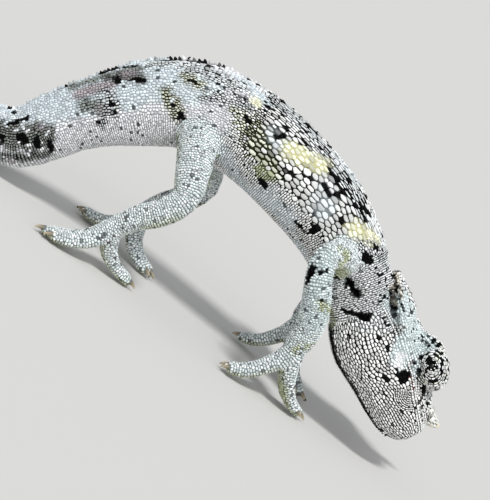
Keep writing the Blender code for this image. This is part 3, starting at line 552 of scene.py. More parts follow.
def head_side(forward, up):
    """How far out the head's side lies at a place on its profile."""
    top, bottom, half_width, widest = head_sizes(forward)
    power = HEAD_POWER_ABOVE if up > widest else HEAD_POWER_BELOW
    reach = top - widest if up > widest else widest - bottom
    share = min(1.0, abs(up - widest) / reach)
    return half_width * (1.0 - share ** power) ** (1.0 / power)


def mirrored(points, shift):
    """A limb's path on the left side, moved a little so that the stance isn't stiff."""
    top = points[0][2]
    moved = []
    for point in points:
        share = 1.0 - max(0.0, min(1.0, point[2] / top))
        moved.append((point[0] + shift[0] * share, -point[1] + shift[1] * share) + tuple(point[2:]))
    return tuple(moved)


def toe_tracks(path, toes):
    """One track for each toe of a bundle that fans a little."""
    middle = (toes - 1) / 2.0
    ends = Track(path)
    level = unit((path[-1][0] - path[0][0], path[-1][1] - path[0][1], 0.0))
    across = level.cross(UPRIGHT)
    tracks = []
    for toe in range(toes):
        rows = []
        length = TOE_LENGTH - TOE_SHORTENING * abs(toe - middle)
        for step in range(TOE_STEPS + 1):
            share = step / TOE_STEPS
            row = ends.read(ends.length * share * (length + 0.1))
            spread = TOE_SPREAD[0] + (TOE_SPREAD[1] - TOE_SPREAD[0]) * share
            radius = TOE_ROOT_RADIUS + (TOE_TIP_RADIUS - TOE_ROOT_RADIUS) * share ** 0.7
            rows.append(tuple(Vector(row) + across * spread * (toe - middle)) + (radius,))
        tracks.append(Track(rows))
    return tracks


def limbs():
    """Name, track of the limb and tracks of its toes for all four limbs."""
    made = []
    kinds = (
        ("foreleg", FORE_ROWS, (FORE_OUTER, 2), (FORE_INNER, 3), LEFT_FORE_SHIFT),
        ("hindleg", HIND_ROWS, (HIND_OUTER, 3), (HIND_INNER, 2), LEFT_HIND_SHIFT),
    )
    for kind, rows, outer, inner, shift in kinds:
        toes = toe_tracks(*outer) + toe_tracks(*inner)
        made.append((kind + "_right", Track(rows), toes))
        left = mirrored(rows, shift)
        foot = (left[-1][0] - outer[0][0][0], left[-1][1] + outer[0][0][1])
        toes = []
        for path, count in (outer, inner):
            moved = tuple((point[0] + foot[0], -point[1] + foot[1], point[2]) for point in path)
            toes += toe_tracks(moved, count)
        made.append((kind + "_left", Track(left), toes))
    return made


# The camera and the way from a place in the photograph to the model

def view_axes():
    """Right, up and backward axes of the camera, and its place."""
    height, roll = math.radians(VIEW_HEIGHT), math.radians(VIEW_ROLL)
    forward = Vector((0.0, math.cos(height), -math.sin(height)))
    level_up = Vector((0.0, math.sin(height), math.cos(height)))
    level_right = Vector((1.0, 0.0, 0.0))
    right = level_right * math.cos(roll) + level_up * math.sin(roll)
    up = level_up * math.cos(roll) - level_right * math.sin(roll)
    middle = Vector((PHOTO_SIZE[0] / 2.0, PHOTO_SIZE[1] / 2.0, 0.0))
    along = math.cos(roll) * middle.x + math.sin(roll) * middle.y - AIM[0]
    above = math.sin(roll) * middle.x - math.cos(roll) * middle.y - AIM[1]
    target = Vector((along * PIXEL, 0.0, above * PIXEL / math.cos(height)))
    return right, up, -forward, target


VIEW_RIGHT, VIEW_UP, VIEW_BACK, VIEW_TARGET = view_axes()
VIEW_PLACE = VIEW_TARGET + VIEW_BACK * VIEW_DISTANCE


def photo_ray(x, y):
    """Direction from the camera through a place in the photograph, in pixels."""
    across = (x - PHOTO_SIZE[0] / 2.0) * PIXEL
    down = (y - PHOTO_SIZE[1] / 2.0) * PIXEL
    return unit(VIEW_TARGET + VIEW_RIGHT * across - VIEW_UP * down - VIEW_PLACE)


def add_object(name, data):
    obj = bpy.data.objects.new(name, data)
    bpy.context.scene.collection.objects.link(obj)
    return obj


def add_camera():
    data = bpy.data.cameras.new("camera")
    data.sensor_fit = "VERTICAL"
    data.sensor_height = SENSOR
    data.lens = SENSOR * VIEW_DISTANCE / (PHOTO_SIZE[1] * PIXEL)
    data.clip_start = 0.01
    data.clip_end = 20.0
    camera = add_object("camera", data)
    rows = []
    for axis in range(3):
        place = (VIEW_PLACE[axis] + SHIFT[axis]) * MM
        rows.append((VIEW_RIGHT[axis], VIEW_UP[axis], VIEW_BACK[axis], place))
    camera.matrix_world = Matrix(rows + [(0.0, 0.0, 0.0, 1.0)])
    bpy.context.scene.camera = camera


# Meshes from arrays

def mesh_object(name, points, faces, colours, places=None):
    """A mesh object from points in millimetres and faces of equal corner count."""
    mesh = bpy.data.meshes.new(name)
    mesh.vertices.add(len(points))
    mesh.vertices.foreach_set("co", ((points + SHIFT) * MM).astype(np.float32).ravel())
    corners = faces.shape[1]
    mesh.loops.add(faces.size)
    mesh.loops.foreach_set("vertex_index", faces.astype(np.int32).ravel())
    mesh.polygons.add(len(faces))
    mesh.polygons.foreach_set("loop_start", np.arange(0, faces.size, corners, dtype=np.int32))
    mesh.update(calc_edges=True)
    mesh.polygons.foreach_set("use_smooth", np.ones(len(faces), dtype=bool))
    # The colours hold the animal's marks and also painted shade at the scales' feet, in folds and in hollows.
    layer = mesh.color_attributes.new("markings_and_painted_shade", "FLOAT_COLOR", "POINT")
    values = np.ones((len(points), 4), dtype=np.float32)
    values[:, :3] = colours
    layer.data.foreach_set("color", values.ravel())
    if places is not None:
        layer = mesh.uv_layers.new(name="OFBake")
        layer.data.foreach_set("uv", places[faces.ravel()].astype(np.float32).ravel())
    mesh.update()
    return add_object(name, mesh)


def vertex_normals(points, faces):
    corners = points[faces]
    across = np.cross(corners[:, 1] - corners[:, 0], corners[:, 2] - corners[:, 0])
    if faces.shape[1] == 4:
        across = np.cross(corners[:, 2] - corners[:, 0], corners[:, 3] - corners[:, 1])
    normals = np.zeros_like(points)
    for corner in range(faces.shape[1]):
        np.add.at(normals, faces[:, corner], across)
    return normals / np.maximum(np.linalg.norm(normals, axis=1, keepdims=True), 1e-12)


def read_array(items, attribute, width, kind=np.int32):
    """One attribute of a mesh's items as an array with rows of some width."""
    values = np.empty(len(items) * width, dtype=kind)
    items.foreach_get(attribute, values)
    return values.reshape(-1, width)


def node_arrays(name):
    """A solid's points, welded, and its triangles, in millimetres."""
    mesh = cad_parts[name].data
    mesh.calc_loop_triangles()
    points = read_array(mesh.vertices, "co", 3, np.float32).astype(float) / MM - SHIFT
    faces = read_array(mesh.loop_triangles, "vertices", 3)
    welded, where = np.unique(np.round(points, 3), axis=0, return_inverse=True)
    faces = where.reshape(-1)[faces]
    solid = (faces[:, 0] != faces[:, 1]) & (faces[:, 1] != faces[:, 2]) & (faces[:, 0] != faces[:, 2])
    return welded, faces[solid]


def joined(meshes):
    """Several meshes as one, each given as points, faces and whatever else it has for its points."""
    points, faces, *others = zip(*meshes)
    starts = np.cumsum([0] + [len(some) for some in points])
    faces = [some + start for some, start in zip(faces, starts)]
    return [np.concatenate(parts) for parts in (points, faces, *others)]


def ring_faces(rings, sides, closed=False):
    """Four-cornered faces between rings of points, and from the last ring to the first when closed."""
    faces = []
    for ring in range(rings if closed else rings - 1):
        near, far = ring * sides, (ring + 1) % rings * sides
        for step in range(sides):
            after = (step + 1) % sides
            faces.append((near + step, far + step, far + after, near + after))
    return np.array(faces)


def near_line(points, line, reach):
    """Numbers of the points inside the box round a line, and their distances from each point of the line."""
    lowest, highest = line.min(axis=0) - reach, line.max(axis=0) + reach
    near = np.nonzero(((points > lowest) & (points < highest)).all(axis=1))[0]
    return near, np.linalg.norm(points[near, None] - line[None], axis=2)


class Surface:
    """A closed surface of four-cornered faces, with a search tree."""

    def __init__(self, points, faces):
        self.points = points
        self.faces = faces
        self.refresh()

    def refresh(self):
        self.normals = vertex_normals(self.points, self.faces)
        self.tree = BVHTree.FromPolygons(self.points.tolist(), self.faces.tolist())

    def snap(self, points):
        """Nearest place on the surface, its normal and distance, for each point."""
        places = np.empty((len(points), 3))
        normals = np.empty((len(points), 3))
        gaps = np.empty(len(points))
        for number, point in enumerate(points):
            place, normal, face, gap = self.tree.find_nearest(Vector(point))
            places[number] = place
            normals[number] = self.normals[self.faces[face]].mean(axis=0)
            gaps[number] = gap
        normals /= np.linalg.norm(normals, axis=1, keepdims=True)
        return places, normals, gaps


class Skin(Surface):
    """One closed skin over all the flesh."""

    def __init__(self, names):
        points, faces = self.swelled(names)
        points, faces = self.remeshed(points, faces)
        points, faces = self.largest(points, faces)
        points = self.smoothed(points, faces, SMOOTHING)
        points -= vertex_normals(points, faces) * (SWELL + COAT_DEPTH)
        super().__init__(self.smoothed(points, faces, 2), faces)

    @staticmethod
    def swelled(names):
        """All solids swelled a little, so that neighbours meet."""
        meshes = []
        for name in names:
            points, faces = node_arrays(name)
            meshes.append((points + vertex_normals(points, faces) * SWELL, faces))
        return joined(meshes)

    @staticmethod
    def remeshed(points, faces, cell=SKIN_CELL):
        mesh = bpy.data.meshes.new("flesh")
        mesh.from_pydata(points.tolist(), [], faces.tolist())
        obj = add_object("flesh", mesh)
        modifier = obj.modifiers.new("remesh", "REMESH")
        modifier.mode = "VOXEL"
        modifier.voxel_size = cell
        graph = bpy.context.evaluated_depsgraph_get()
        made = bpy.data.meshes.new_from_object(obj.evaluated_get(graph))
        bpy.data.objects.remove(obj)
        points = read_array(made.vertices, "co", 3, np.float32).astype(float)
        return points, read_array(made.loops, "vertex_index", 1).reshape(-1, 4)

    @staticmethod
    def largest(points, faces):
        """Drops every closed surface but the largest."""
        group = np.arange(len(points))
        while True:
            lowest = group[faces].min(axis=1)
            before = group.copy()
            for corner in range(4):
                np.minimum.at(group, faces[:, corner], lowest)
            group = group[group]
            if (group == before).all():
                break
        names, counts = np.unique(group[faces[:, 0]], return_counts=True)
        kept = group == names[counts.argmax()]
        number = np.cumsum(kept) - 1
        return points[kept], number[faces[kept[faces[:, 0]]]]

    @staticmethod
    def smoothed(points, faces, rounds):
        """Evens out steps in the surface, and keeps its size by a push back after each pull."""
        edges = np.concatenate([faces[:, [0, 1]], faces[:, [1, 2]], faces[:, [2, 3]], faces[:, [3, 0]]])
        start, end = edges.T
        total = len(points)
        count = np.bincount(start, minlength=total)[:, None]
        for step in range(rounds * 2):
            mean = np.zeros_like(points)
            for axis in range(3):
                mean[:, axis] = np.bincount(start, weights=points[end, axis], minlength=total)
            points = points + (mean / count - points) * SMOOTHING_STEPS[step % 2]
        return points

    def seen(self, places):
        """The line on the skin that the photograph shows through some places in pixels, in small steps."""
        spots = []
        for near, far in zip(places, places[1:]):
            steps = max(2, int(math.dist(near, far)))
            for step in range(steps + 1):
                share = step / steps
                x, y = near[0] + (far[0] - near[0]) * share, near[1] + (far[1] - near[1]) * share
                hit = self.tree.ray_cast(VIEW_PLACE, photo_ray(x, y))[0]
                if hit:
                    spots.append(tuple(hit))
        return np.array(spots)

    def carve(self, line, half_width, depth):
        """Presses a fold into the skin along a line of points, shallow towards its ends."""
        near, gaps = near_line(self.points, line, 4.0 * half_width)
        share = gaps.argmin(axis=1) / max(1, len(line) - 1)
        taper = np.clip(np.sin(math.pi * (0.1 + 0.8 * share)) * 1.3, 0.0, 1.0)
        press = depth * taper * np.exp(-(gaps.min(axis=1) / half_width) ** 2)
        self.points[near] -= self.normals[near] * press[:, None]


# Where each scale grows

class Seeds:
    """Roots of scales: place, direction of its row, size, part, unwrap place and length over width."""

    def __init__(self, rng):
        self.rows = []
        self.rng = rng

    def add(self, point, along, size, part, unwrap, stretch=1.0):
        self.rows.append((tuple(point), tuple(along), size, part, unwrap, stretch))

    def rings(self, part, track, span, zone, pitch, hint=UPRIGHT, across=False, slant=0.0, jitter=0.12):
        """Scales round a track from one angle to another, in rows along it or, with across, in rings."""
        along_pitch, round_pitch = pitch
        size = math.sqrt(along_pitch * round_pitch) / 2.0
        stretch = round_pitch / along_pitch if across else along_pitch / round_pitch
        loose, round_loose = (jitter, jitter + 0.1) if across else (jitter + 0.12, jitter)
        for number, spot in enumerate(np.arange(span[0], span[1], along_pitch)):
            centre, heading, right, up, sizes = track.frame(spot, hint)
            offset = (self.rng.random() if across else 0.5 + slant * number) % 1.0
            for point, angle in ring_places(centre, right, up, sizes, zone, round_pitch, offset):
                turned = math.radians(angle)
                tangent = up.cross(heading) * -math.sin(turned) + up * math.cos(turned)
                point = point + heading * self.rng.normal(0.0, loose * along_pitch)
                point += tangent * self.rng.normal(0.0, round_loose * round_pitch)
                grown = size * self.rng.uniform(0.88, 1.12)
                longer = stretch * self.rng.uniform(0.85, 1.2)
                unwrap = (spot / track.length, angle / 360.0 % 1.0)
                self.add(point, tangent if across else heading, grown, part, unwrap, longer)

    def field(self, surface, reach):
        """The roots within reach of a surface, snapped to it, as arrays."""
        names = ("points", "along", "size", "part", "unwrap", "stretch")
        field = {name: np.array(values) for name, values in zip(names, zip(*self.rows))}
        field["points"], field["normals"], gaps = surface.snap(field["points"])
        field["gap"] = np.ones(len(gaps))
        return pick(field, gaps < reach)


def pick(field, chosen):
    return {name: values[chosen] for name, values in field.items()}


def ring_places(centre, right, up, sizes, zone, spacing, offset):
    """Points at equal steps on part of a section's rim, with their angles in degrees."""
    angles = np.radians(np.linspace(zone[0], zone[1], 91))
    height = np.where(np.sin(angles) > 0.0, sizes[1], sizes[2])
    steps = np.hypot(np.diff(sizes[0] * np.cos(angles)), np.diff(height * np.sin(angles)))
    distance = np.concatenate(([0.0], np.cumsum(steps)))
    count = max(3, int(round(distance[-1] / spacing)))
    wanted = (np.arange(count) + offset) / count * distance[-1]
    places = []
    for angle in np.interp(wanted, distance, angles):
        reach = sizes[1] if math.sin(angle) > 0.0 else sizes[2]
        point = centre + right * (sizes[0] * math.cos(angle)) + up * (reach * math.sin(angle))
        places.append((point, math.degrees(angle)))
    return places


def body_seeds(seeds):
    """Neck, trunk and tail: long slanted scales by the back, large ones on the flank, fine belly rings."""
    neck, chest, loin, trunk = (BODY_TRACK.distance(row) for row in (2.5, 3.1, 6.4, TRUNK_END))
    halves = ((chest, loin), (loin, trunk))
    for zone, slant in zip(BACK_ZONES, BACK_SLANTS):
        for span, pitch in zip(halves, BACK_PITCHES):
            seeds.rings("trunk", BODY_TRACK, span, zone, pitch, slant=slant)
    for zone in FLANK_ZONES:
        for span, pitch, slant, jitter in zip(halves, FLANK_PITCHES, FLANK_SLANTS, FLANK_JITTERS):
            seeds.rings("trunk", BODY_TRACK, span, zone, pitch, slant=slant, jitter=jitter)
    seeds.rings("trunk", BODY_TRACK, (chest, trunk), BELLY_ZONE, BELLY_PITCH, across=True, jitter=0.05)
    seeds.rings("neck", BODY_TRACK, (neck, chest), ALL_ROUND, NAPE_PITCH)
    seeds.rings("neck", BODY_TRACK, (0.0, neck), ALL_ROUND, NECK_PITCH, across=True, jitter=0.05)
    for start in np.arange(trunk, BODY_TRACK.length, TAIL_STEP):
        span = start, min(start + TAIL_STEP, BODY_TRACK.length)
        fine = min(0.44, 0.28 + 0.035 * float(BODY_TRACK.read(sum(span) / 2.0)[3]))
        seeds.rings("tail", BODY_TRACK, span, TAIL_TOP_ZONE, (fine, fine))
        seeds.rings("tail", BODY_TRACK, span, TAIL_BOTTOM_ZONE, (0.82 * fine, fine), across=True, jitter=0.04)


def limb_seeds(seeds):
    for name, track, toes in limbs():
        seeds.rings(name, track, (2.0, track.length + 1.0), ALL_ROUND, LIMB_PITCH, LIMB_HINT, True)
        for number, toe in enumerate(toes):
            span = 0.6, toe.length + 0.5
            seeds.rings(f"{name}_toe_{number}", toe, span, ALL_ROUND, TOE_PITCH, TOE_HINT, True, jitter=0.06)


def head_angle_point(forward, angle):
    """A point on the head's section at an angle, 90 degrees at the top."""
    top, bottom, half_width, widest = head_sizes(forward)
    power = HEAD_POWER_ABOVE if math.sin(angle) > 0.0 else HEAD_POWER_BELOW
    across = math.copysign(abs(math.cos(angle)) ** (2.0 / power), math.cos(angle))
    along = math.copysign(abs(math.sin(angle)) ** (2.0 / power), math.sin(angle))
    reach = top - widest if along > 0.0 else widest - bottom
    return head_point(forward, widest + along * reach, across * half_width)


def jaw_angle(base, spot):
    """Degrees round the head of a row of the jaw: forward, rows by the lips slant towards them."""
    lean = (base - 270.0) / 90.0
    wave = noise.noise(Vector((spot / 3.0, base / 16.0, 4.0)))
    return base + JAW_SLANT * (max(spot, JAW_SLANT_START) - 15.0) * lean + 3.0 * wave


def head_seeds(seeds):
    """Long scales in rows along jaw and throat, and finer granules above the mouth."""
    rng = seeds.rng
    start, end = HEAD_SPAN
    step = 180.0 / JAW_ROWS
    for row in range(-7, JAW_ROWS + 7):
        base = 180.0 + step * (row + 0.5)
        spot = start + rng.uniform(0.0, JAW_PITCH)
        while spot < end:
            degrees = jaw_angle(base, spot)
            if 180.0 < degrees < 360.0:
                point = head_angle_point(spot, math.radians(degrees))
                ahead = head_angle_point(spot + 0.2, math.radians(jaw_angle(base, spot + 0.2)))
                across = (head_angle_point(spot, math.radians(degrees + step)) - point).length
                long_share = rng.uniform(0.8, 1.25)
                size = 0.5 * math.sqrt(JAW_PITCH * max(across, 0.34)) * rng.uniform(0.9, 1.1)
                stretch = JAW_PITCH / max(across, 0.34) * long_share
                unwrap = (spot / HEAD_UNWRAP, degrees / 360.0)
                seeds.add(point, unit(ahead - point), size, "head", unwrap, stretch)
            spot += JAW_PITCH * rng.uniform(0.75, 1.25)
    step = 180.0 / CROWN_ROWS
    for row in range(CROWN_ROWS):
        degrees = step * (row + 0.5)
        spot = start + rng.uniform(0.0, CROWN_PITCH)
        while spot < end:
            point = head_angle_point(spot, math.radians(degrees))
            size = (0.5 * CROWN_PITCH + 0.08 * smooth_step(spot, 12.0, 17.0)) * rng.uniform(0.88, 1.12)
            seeds.add(point, HEAD_FORWARD, size, "head", (spot / HEAD_UNWRAP, degrees / 360.0))
            spot += CROWN_PITCH * (1.0 + rng.uniform(-0.1, 0.1))


def mouth_line(sign):
    """Points along the closed mouth, from the snout's tip to its corner."""
    points = []
    for near, far in zip(MOUTH_LINE, MOUTH_LINE[1:]):
        for share in np.linspace(0.0, 1.0, 14):
            forward, up = near[0] + (far[0] - near[0]) * share, near[1] + (far[1] - near[1]) * share
            points.append(head_point(forward, up, sign * head_side(forward, up)))
    return np.array(points)


def mouth_corner(sign):
    """The part of the mouth's line that shows as an open seam."""
    line = mouth_line(sign)
    return line[in_head(line)[:, 0] < OPEN_MOUTH_END]


def corner_seeds(seeds):
    """Fine arcs of scales round the corner of the mouth, on the jaw's side of it."""
    forward, up = CORNER_ARCS
    for sign in (1, -1):
        for radius in np.arange(0.45, CORNER_REACH, CORNER_PITCHES[0]):
            count = max(2, int(round(2.0 * radius / CORNER_PITCHES[1])))
            for step in range(count):
                turned = CORNER_SPAN[1] * (step + seeds.rng.uniform(0.2, 0.8)) / count
                angle = math.radians(CORNER_SPAN[0] + turned)
                place = forward + radius * math.sin(angle), up - radius * math.cos(angle)
                point = head_point(*place, sign * head_side(*place))
                unwrap = (place[0] / HEAD_UNWRAP, 0.6 + place[1] / 20.0)
                seeds.add(point, around(HEAD_FORWARD, HEAD_UP, angle), CORNER_SIZE, "head", unwrap, 1.5)


def lip_seeds(seeds):
    """One row of larger scales above the mouth and one below it."""
    for sign in (1, -1):
        line = mouth_line(sign)
        steps = np.concatenate(([0.0], np.cumsum(np.linalg.norm(np.diff(line, axis=0), axis=1))))
        for spot in np.arange(0.2, steps[-1], LIP_PITCH):
            point = Vector([np.interp(spot, steps, line[:, axis]) for axis in range(3)])
            for rise in (LIP_RISE, -LIP_RISE):
                unwrap = (spot / 24.0, 0.5 + rise / 10.0)
                seeds.add(point + HEAD_UP * rise, HEAD_FORWARD, LIP_SIZE, "head", unwrap)


def bare_seeds(seeds, folds):
    """Roots without a scale, which keep folds, mouth and nostrils open."""
    for line, half_width, depth, bare in folds:
        last = None
        for point in line if bare else ():
            if last is None or np.linalg.norm(point - last) > 0.4 * bare:
                seeds.add(point, HEAD_FORWARD, bare, BARE, (0.0, 0.0))
                last = point


def turret_seeds(seeds):
    """Rings of granules round each eye."""
    rng = seeds.rng
    first, last = (math.radians(angle) for angle in TURRET_RINGS)
    for sign, part in ((1, "turret_right"), (-1, "turret_left")):
        centre = turret_centre(sign)
        axis, long_axis, short_axis = turret_axes(sign)
        polar = first
        while polar < last:
            length = TURRET_FRONT if polar < math.pi / 2 else TURRET_BACK
            width = math.sin(polar)
            rim = math.pi * (TURRET_HALF_LENGTH + TURRET_HALF_HEIGHT) * width
            count = max(8, int(round(rim / TURRET_PITCH)))
            start = rng.random()
            for step in range(count):
                angle = TURN * (step + start) / count + rng.normal(0.0, 0.8 / count)
                cosine, sine = math.cos(angle), math.sin(angle)
                point = centre + axis * (length * math.cos(polar))
                rise = long_axis * (cosine * TURRET_HALF_LENGTH) + short_axis * (sine * TURRET_HALF_HEIGHT)
                point += rise * width
                tangent = short_axis * (cosine * TURRET_HALF_HEIGHT) - long_axis * (sine * TURRET_HALF_LENGTH)
                seeds.add(point, unit(tangent), GRANULE, part, (polar / math.pi, angle / TURN % 1.0), 1.3)
            polar += TURRET_RING_STEP


def gap_shares(field):
    """How wide the gaps round each scale are, as a share of the usual ones."""
    points, part = field["points"], field["part"]
    share = np.ones(len(points))
    for word, value in GAP_SHARES:
        share[np.char.find(part, word) >= 0] = value
    row = body_rows_at(points)
    above = field["normals"][:, 2]
    trunk = part == "trunk"
    share[trunk & (row > REAR_ROW)] = 0.45
    share[trunk & (above < -0.1)] = 0.7
    share[trunk & (row < REAR_ROW) & (above > 0.4)] = 1.3
    share[trunk & (field["size"] > LARGE_SCALE) & (row < 5.0)] = 0.75
    forward, up, out = in_head(points).T
    share[(part == "head") & (up > 0.6) & (forward < 14.0)] = 0.72
    return share


def settle(seeds, skin, bars):
    """Snaps the roots to the skin, drops crowded ones and fills bare places with small granules."""
    field = seeds.field(skin, ROOT_REACH)
    field = pick(field, open_places(field["points"], bars))
    field = pick(field, spaced(field, CLOSENESS))
    extra = bare_places(field, skin, bars, seeds.rng)
    scaled = pick(field, field["part"] != BARE)
    filling = pick(scaled, nearest(tree_of(scaled["points"]), extra))
    filling["points"], filling["normals"], gaps = skin.snap(extra)
    filling["size"] = np.minimum(filling["size"], GRANULE)
    filling["stretch"] = np.ones(len(extra))
    filling["unwrap"] += seeds.rng.uniform(-0.004, 0.004, (len(extra), 2))
    return {name: np.concatenate([values, filling[name]]) for name, values in field.items()}


def open_places(points, bars):
    """Which points lie clear of eyes and claws."""
    clear = np.ones(len(points), dtype=bool)
    for line, radius in bars:
        near, gaps = near_line(points, line, radius)
        clear[near[gaps.min(axis=1) < radius]] = False
    return clear


def tree_of(points):
    tree = KDTree(len(points))
    for number, point in enumerate(points):
        tree.insert(Vector(point), number)
    tree.balance()
    return tree


def nearest(tree, points):
    """Number of the tree's point that is nearest to each point."""
    return np.array([tree.find(Vector(point))[1] for point in points], dtype=int)


def spaced(field, closeness):
    """Which roots stay when each must keep its distance from those before it, less of it beside long scales.

    Bare ones all stay.
    """
    points, size, stretch = field["points"], field["size"], field["stretch"]
    fixed = field["part"] == BARE
    tree = tree_of(points)
    kept = np.ones(len(points), dtype=bool)
    largest = size.max()
    for number, point in enumerate(points):
        if not kept[number]:
            continue
        longer, heading, point = stretch[number], Vector(field["along"][number]), Vector(point)
        reach = closeness * (size[number] + largest) * math.sqrt(longer)
        for place, other, gap in tree.find_range(point, reach):
            if other <= number or fixed[other]:
                continue
            ahead = (place - point).dot(heading) ** 2
            felt = math.sqrt(ahead / longer + max(0.0, gap * gap - ahead) * longer)
            if felt < closeness * (size[number] + size[other]):
                kept[other] = False
    return kept


def bare_places(field, skin, bars, rng):
    """Random places on the skin that no scale covers yet, farther than its room from the nearest root."""
    size = field["size"]
    room = 1.15 * size * np.sqrt(field["stretch"]) + 0.12
    room[(size > LARGE_SCALE) & (field["points"][:, 0] > FRONT_FLANK)] += 0.22
    corners = skin.points[skin.faces]
    share = rng.uniform(0.0, 1.0, (len(corners), 2))
    across, down = share[:, :1], share[:, 1:]
    spots = (
        corners[:, 0] * ((1 - across) * (1 - down)) + corners[:, 1] * (across * (1 - down))
        + corners[:, 2] * (across * down) + corners[:, 3] * ((1 - across) * down)
    )
    tree = tree_of(field["points"])
    bare = []
    for spot in spots[open_places(spots, bars)]:
        place, number, gap = tree.find(Vector(spot))
        if gap > room[number]:
            bare.append(spot)
    if not bare:
        return np.zeros((0, 3))
    bare = np.array(bare)
    ones = np.ones(len(bare))
    along = np.tile((1.0, 0.0, 0.0), (len(bare), 1))
    granules = {
        "points": bare, "along": along, "size": GRANULE * ones, "stretch": ones, "part": ones.astype(str),
    }
    return bare[spaced(granules, GRANULE_CLOSENESS)]


# Scale shapes

def scale_cells(field):
    """How far each scale reaches in CORNERS directions before it meets its neighbours."""
    points, normals, size = field["points"], field["normals"], field["size"]
    tree = tree_of(points)
    others = np.empty((len(points), NEIGHBOURS), dtype=int)
    for number, point in enumerate(points):
        found = tree.find_n(Vector(point), NEIGHBOURS + 1)
        others[number] = [other for place, other, gap in found if other != number][:NEIGHBOURS]
    along = field["along"] - normals * (field["along"] * normals).sum(axis=1, keepdims=True)
    along /= np.maximum(np.linalg.norm(along, axis=1, keepdims=True), 1e-9)
    side = np.cross(normals, along)
    offset = points[others] - points[:, None]
    longer = np.sqrt(field["stretch"])[:, None]
    x = (offset * along[:, None]).sum(axis=2) / longer
    y = (offset * side[:, None]).sum(axis=2) * longer
    distance = np.maximum(np.hypot(x, y), 1e-6)
    heading = np.arctan2(y, x)
    border = (distance ** 2 + size[:, None] ** 2 - size[others] ** 2) / (2.0 * distance)
    facing = (normals[others] * normals[:, None]).sum(axis=2)
    border = np.where(facing > 0.1, np.maximum(border, 0.3 * size[:, None]), 9.0)
    angles = TURN * np.arange(CORNERS) / CORNERS
    toward = np.cos(angles[None, None, :] - heading[:, :, None])
    reach = np.where(toward > 0.1, border[:, :, None] / np.maximum(toward, 0.1), 9.0).min(axis=1)
    reach = np.minimum(reach, 1.6 * size[:, None])
    gap = GAP_IN_ROW * np.cos(angles)[None] ** 2 / longer
    gap = gap + GAP_BETWEEN_ROWS * np.sin(angles)[None] ** 2 * longer
    return np.maximum(reach - gap * field["gap"][:, None], 0.06), angles, along * longer, side / longer


def scale_mesh(field, cells, rng):
    """Points, triangles, colours and unwrap places of some scales, with painted shade at each scale's foot.
    """
    reach, angles, along, side = cells
    points, normals, colours = (field[name][:, None] for name in ("points", "normals", "colour"))
    count = len(points)
    width = reach.mean(axis=1)
    height = np.minimum(0.06 + 0.14 * width, COAT_DEPTH * 0.8) * rng.uniform(0.8, 1.2, count)
    out = along[:, None] * np.cos(angles)[None, :, None] + side[:, None] * np.sin(angles)[None, :, None]
    across = np.sin(angles) ** 2
    lean = rng.normal(0.0, 0.1, (count, 2))
    tilt = 1.0 + lean[:, :1] * np.cos(angles) + lean[:, 1:] * np.sin(angles)
    ones = np.ones(CORNERS)
    # Rings of each scale: share of its reach, sink, rise, and a factor on its colour. The foot ring's colour
    # is painted darker, most towards the next rows: painted shade where the scale dips into the gap round it.
    levels = (
        (ones, -FOOT_DEPTH, 0.0, 0.8 - 0.5 * across),
        (0.93 - 0.1 * across, 0.0, 0.8, ones),
        (0.6 - 0.1 * across, 0.0, 1.0, ones),
    )
    root = lay_atlas(field["part"], field["unwrap"])[:, None]
    circle = np.stack([np.cos(angles), np.sin(angles)], axis=1)[None]
    verts, shade, place = [], [], []
    for number, (share, sink, rise, light) in enumerate(levels):
        level = sink + height[:, None] * rise * tilt
        verts.append(points + out * (reach * share)[:, :, None] + normals * level[:, :, None])
        shade.append(colours * light[None, :, None])
        place.append(root + circle * (PATCH * (1.0 - 0.3 * number)))
    verts.append(points + normals * (height * 1.06)[:, None, None])
    shade.append(colours)
    place.append(root)
    verts, shade, place = (np.concatenate(rings, axis=1) for rings in (verts, shade, place))
    rows = verts.shape[1]
    step = np.arange(CORNERS)
    after = (step + 1) % CORNERS
    template = []
    for start in range(0, rows - 1 - CORNERS, CORNERS):
        template.append(np.stack([start + step, start + after, start + CORNERS + after], axis=1))
        template.append(np.stack([start + step, start + CORNERS + after, start + CORNERS + step], axis=1))
    start = rows - 1 - CORNERS
    template.append(np.stack([start + step, start + after, np.full(CORNERS, rows - 1)], axis=1))
    faces = (np.concatenate(template)[None] + (np.arange(count) * rows)[:, None, None]).reshape(-1, 3)
    return verts.reshape(-1, 3), faces, shade.reshape(-1, 3), place.reshape(-1, 2)


def lay_atlas(part, unwrap):
    """Gives every scale its place on its piece's unwrap: one cell of a grid for each part of the body."""
    names = sorted(set(part))
    cells = math.ceil(math.sqrt(len(names)))
    atlas = np.empty((len(part), 2))
    for number, name in enumerate(names):
        chosen = part == name
        corner = np.array([number % cells, number // cells]) / cells
        atlas[chosen] = corner + (0.04 + 0.92 * (unwrap[chosen] % 1.0)) / cells
    return atlas


def cone_mesh(base, axis, flat, height, radius, colour):
    """A small leaning cone with a sunk foot painted darker, painted shade where it meets the skin; flat is
    its side direction.
    """
    axis = unit(axis)
    side = unit(Vector(flat) - axis * Vector(flat).dot(axis))
    other = axis.cross(side)
    points, colours = [], []
    for level, width in CONE_LEVELS:
        for step in range(CONE_SIDES):
            angle = TURN * step / CONE_SIDES
            out = side * (math.cos(angle) * 0.72) + other * math.sin(angle)
            points.append(tuple(Vector(base) + axis * height * level + out * radius * width))
            # The sunk foot ring is painted darker: painted shade at the cone's foot.
            colours.append(colour * (0.35 if level < 0.0 else 1.0))
    return np.array(points), ring_faces(len(CONE_LEVELS), CONE_SIDES)[:, OTHER_WAY], np.array(colours)


# Colour

def rgb(red, green, blue):
    """A colour as seen on a screen, 0 to 255, in linear light."""
    values = np.array([red, green, blue], dtype=float) / 255.0
    return np.where(values <= 0.04045, values / 12.92, ((values + 0.055) / 1.055) ** 2.4)


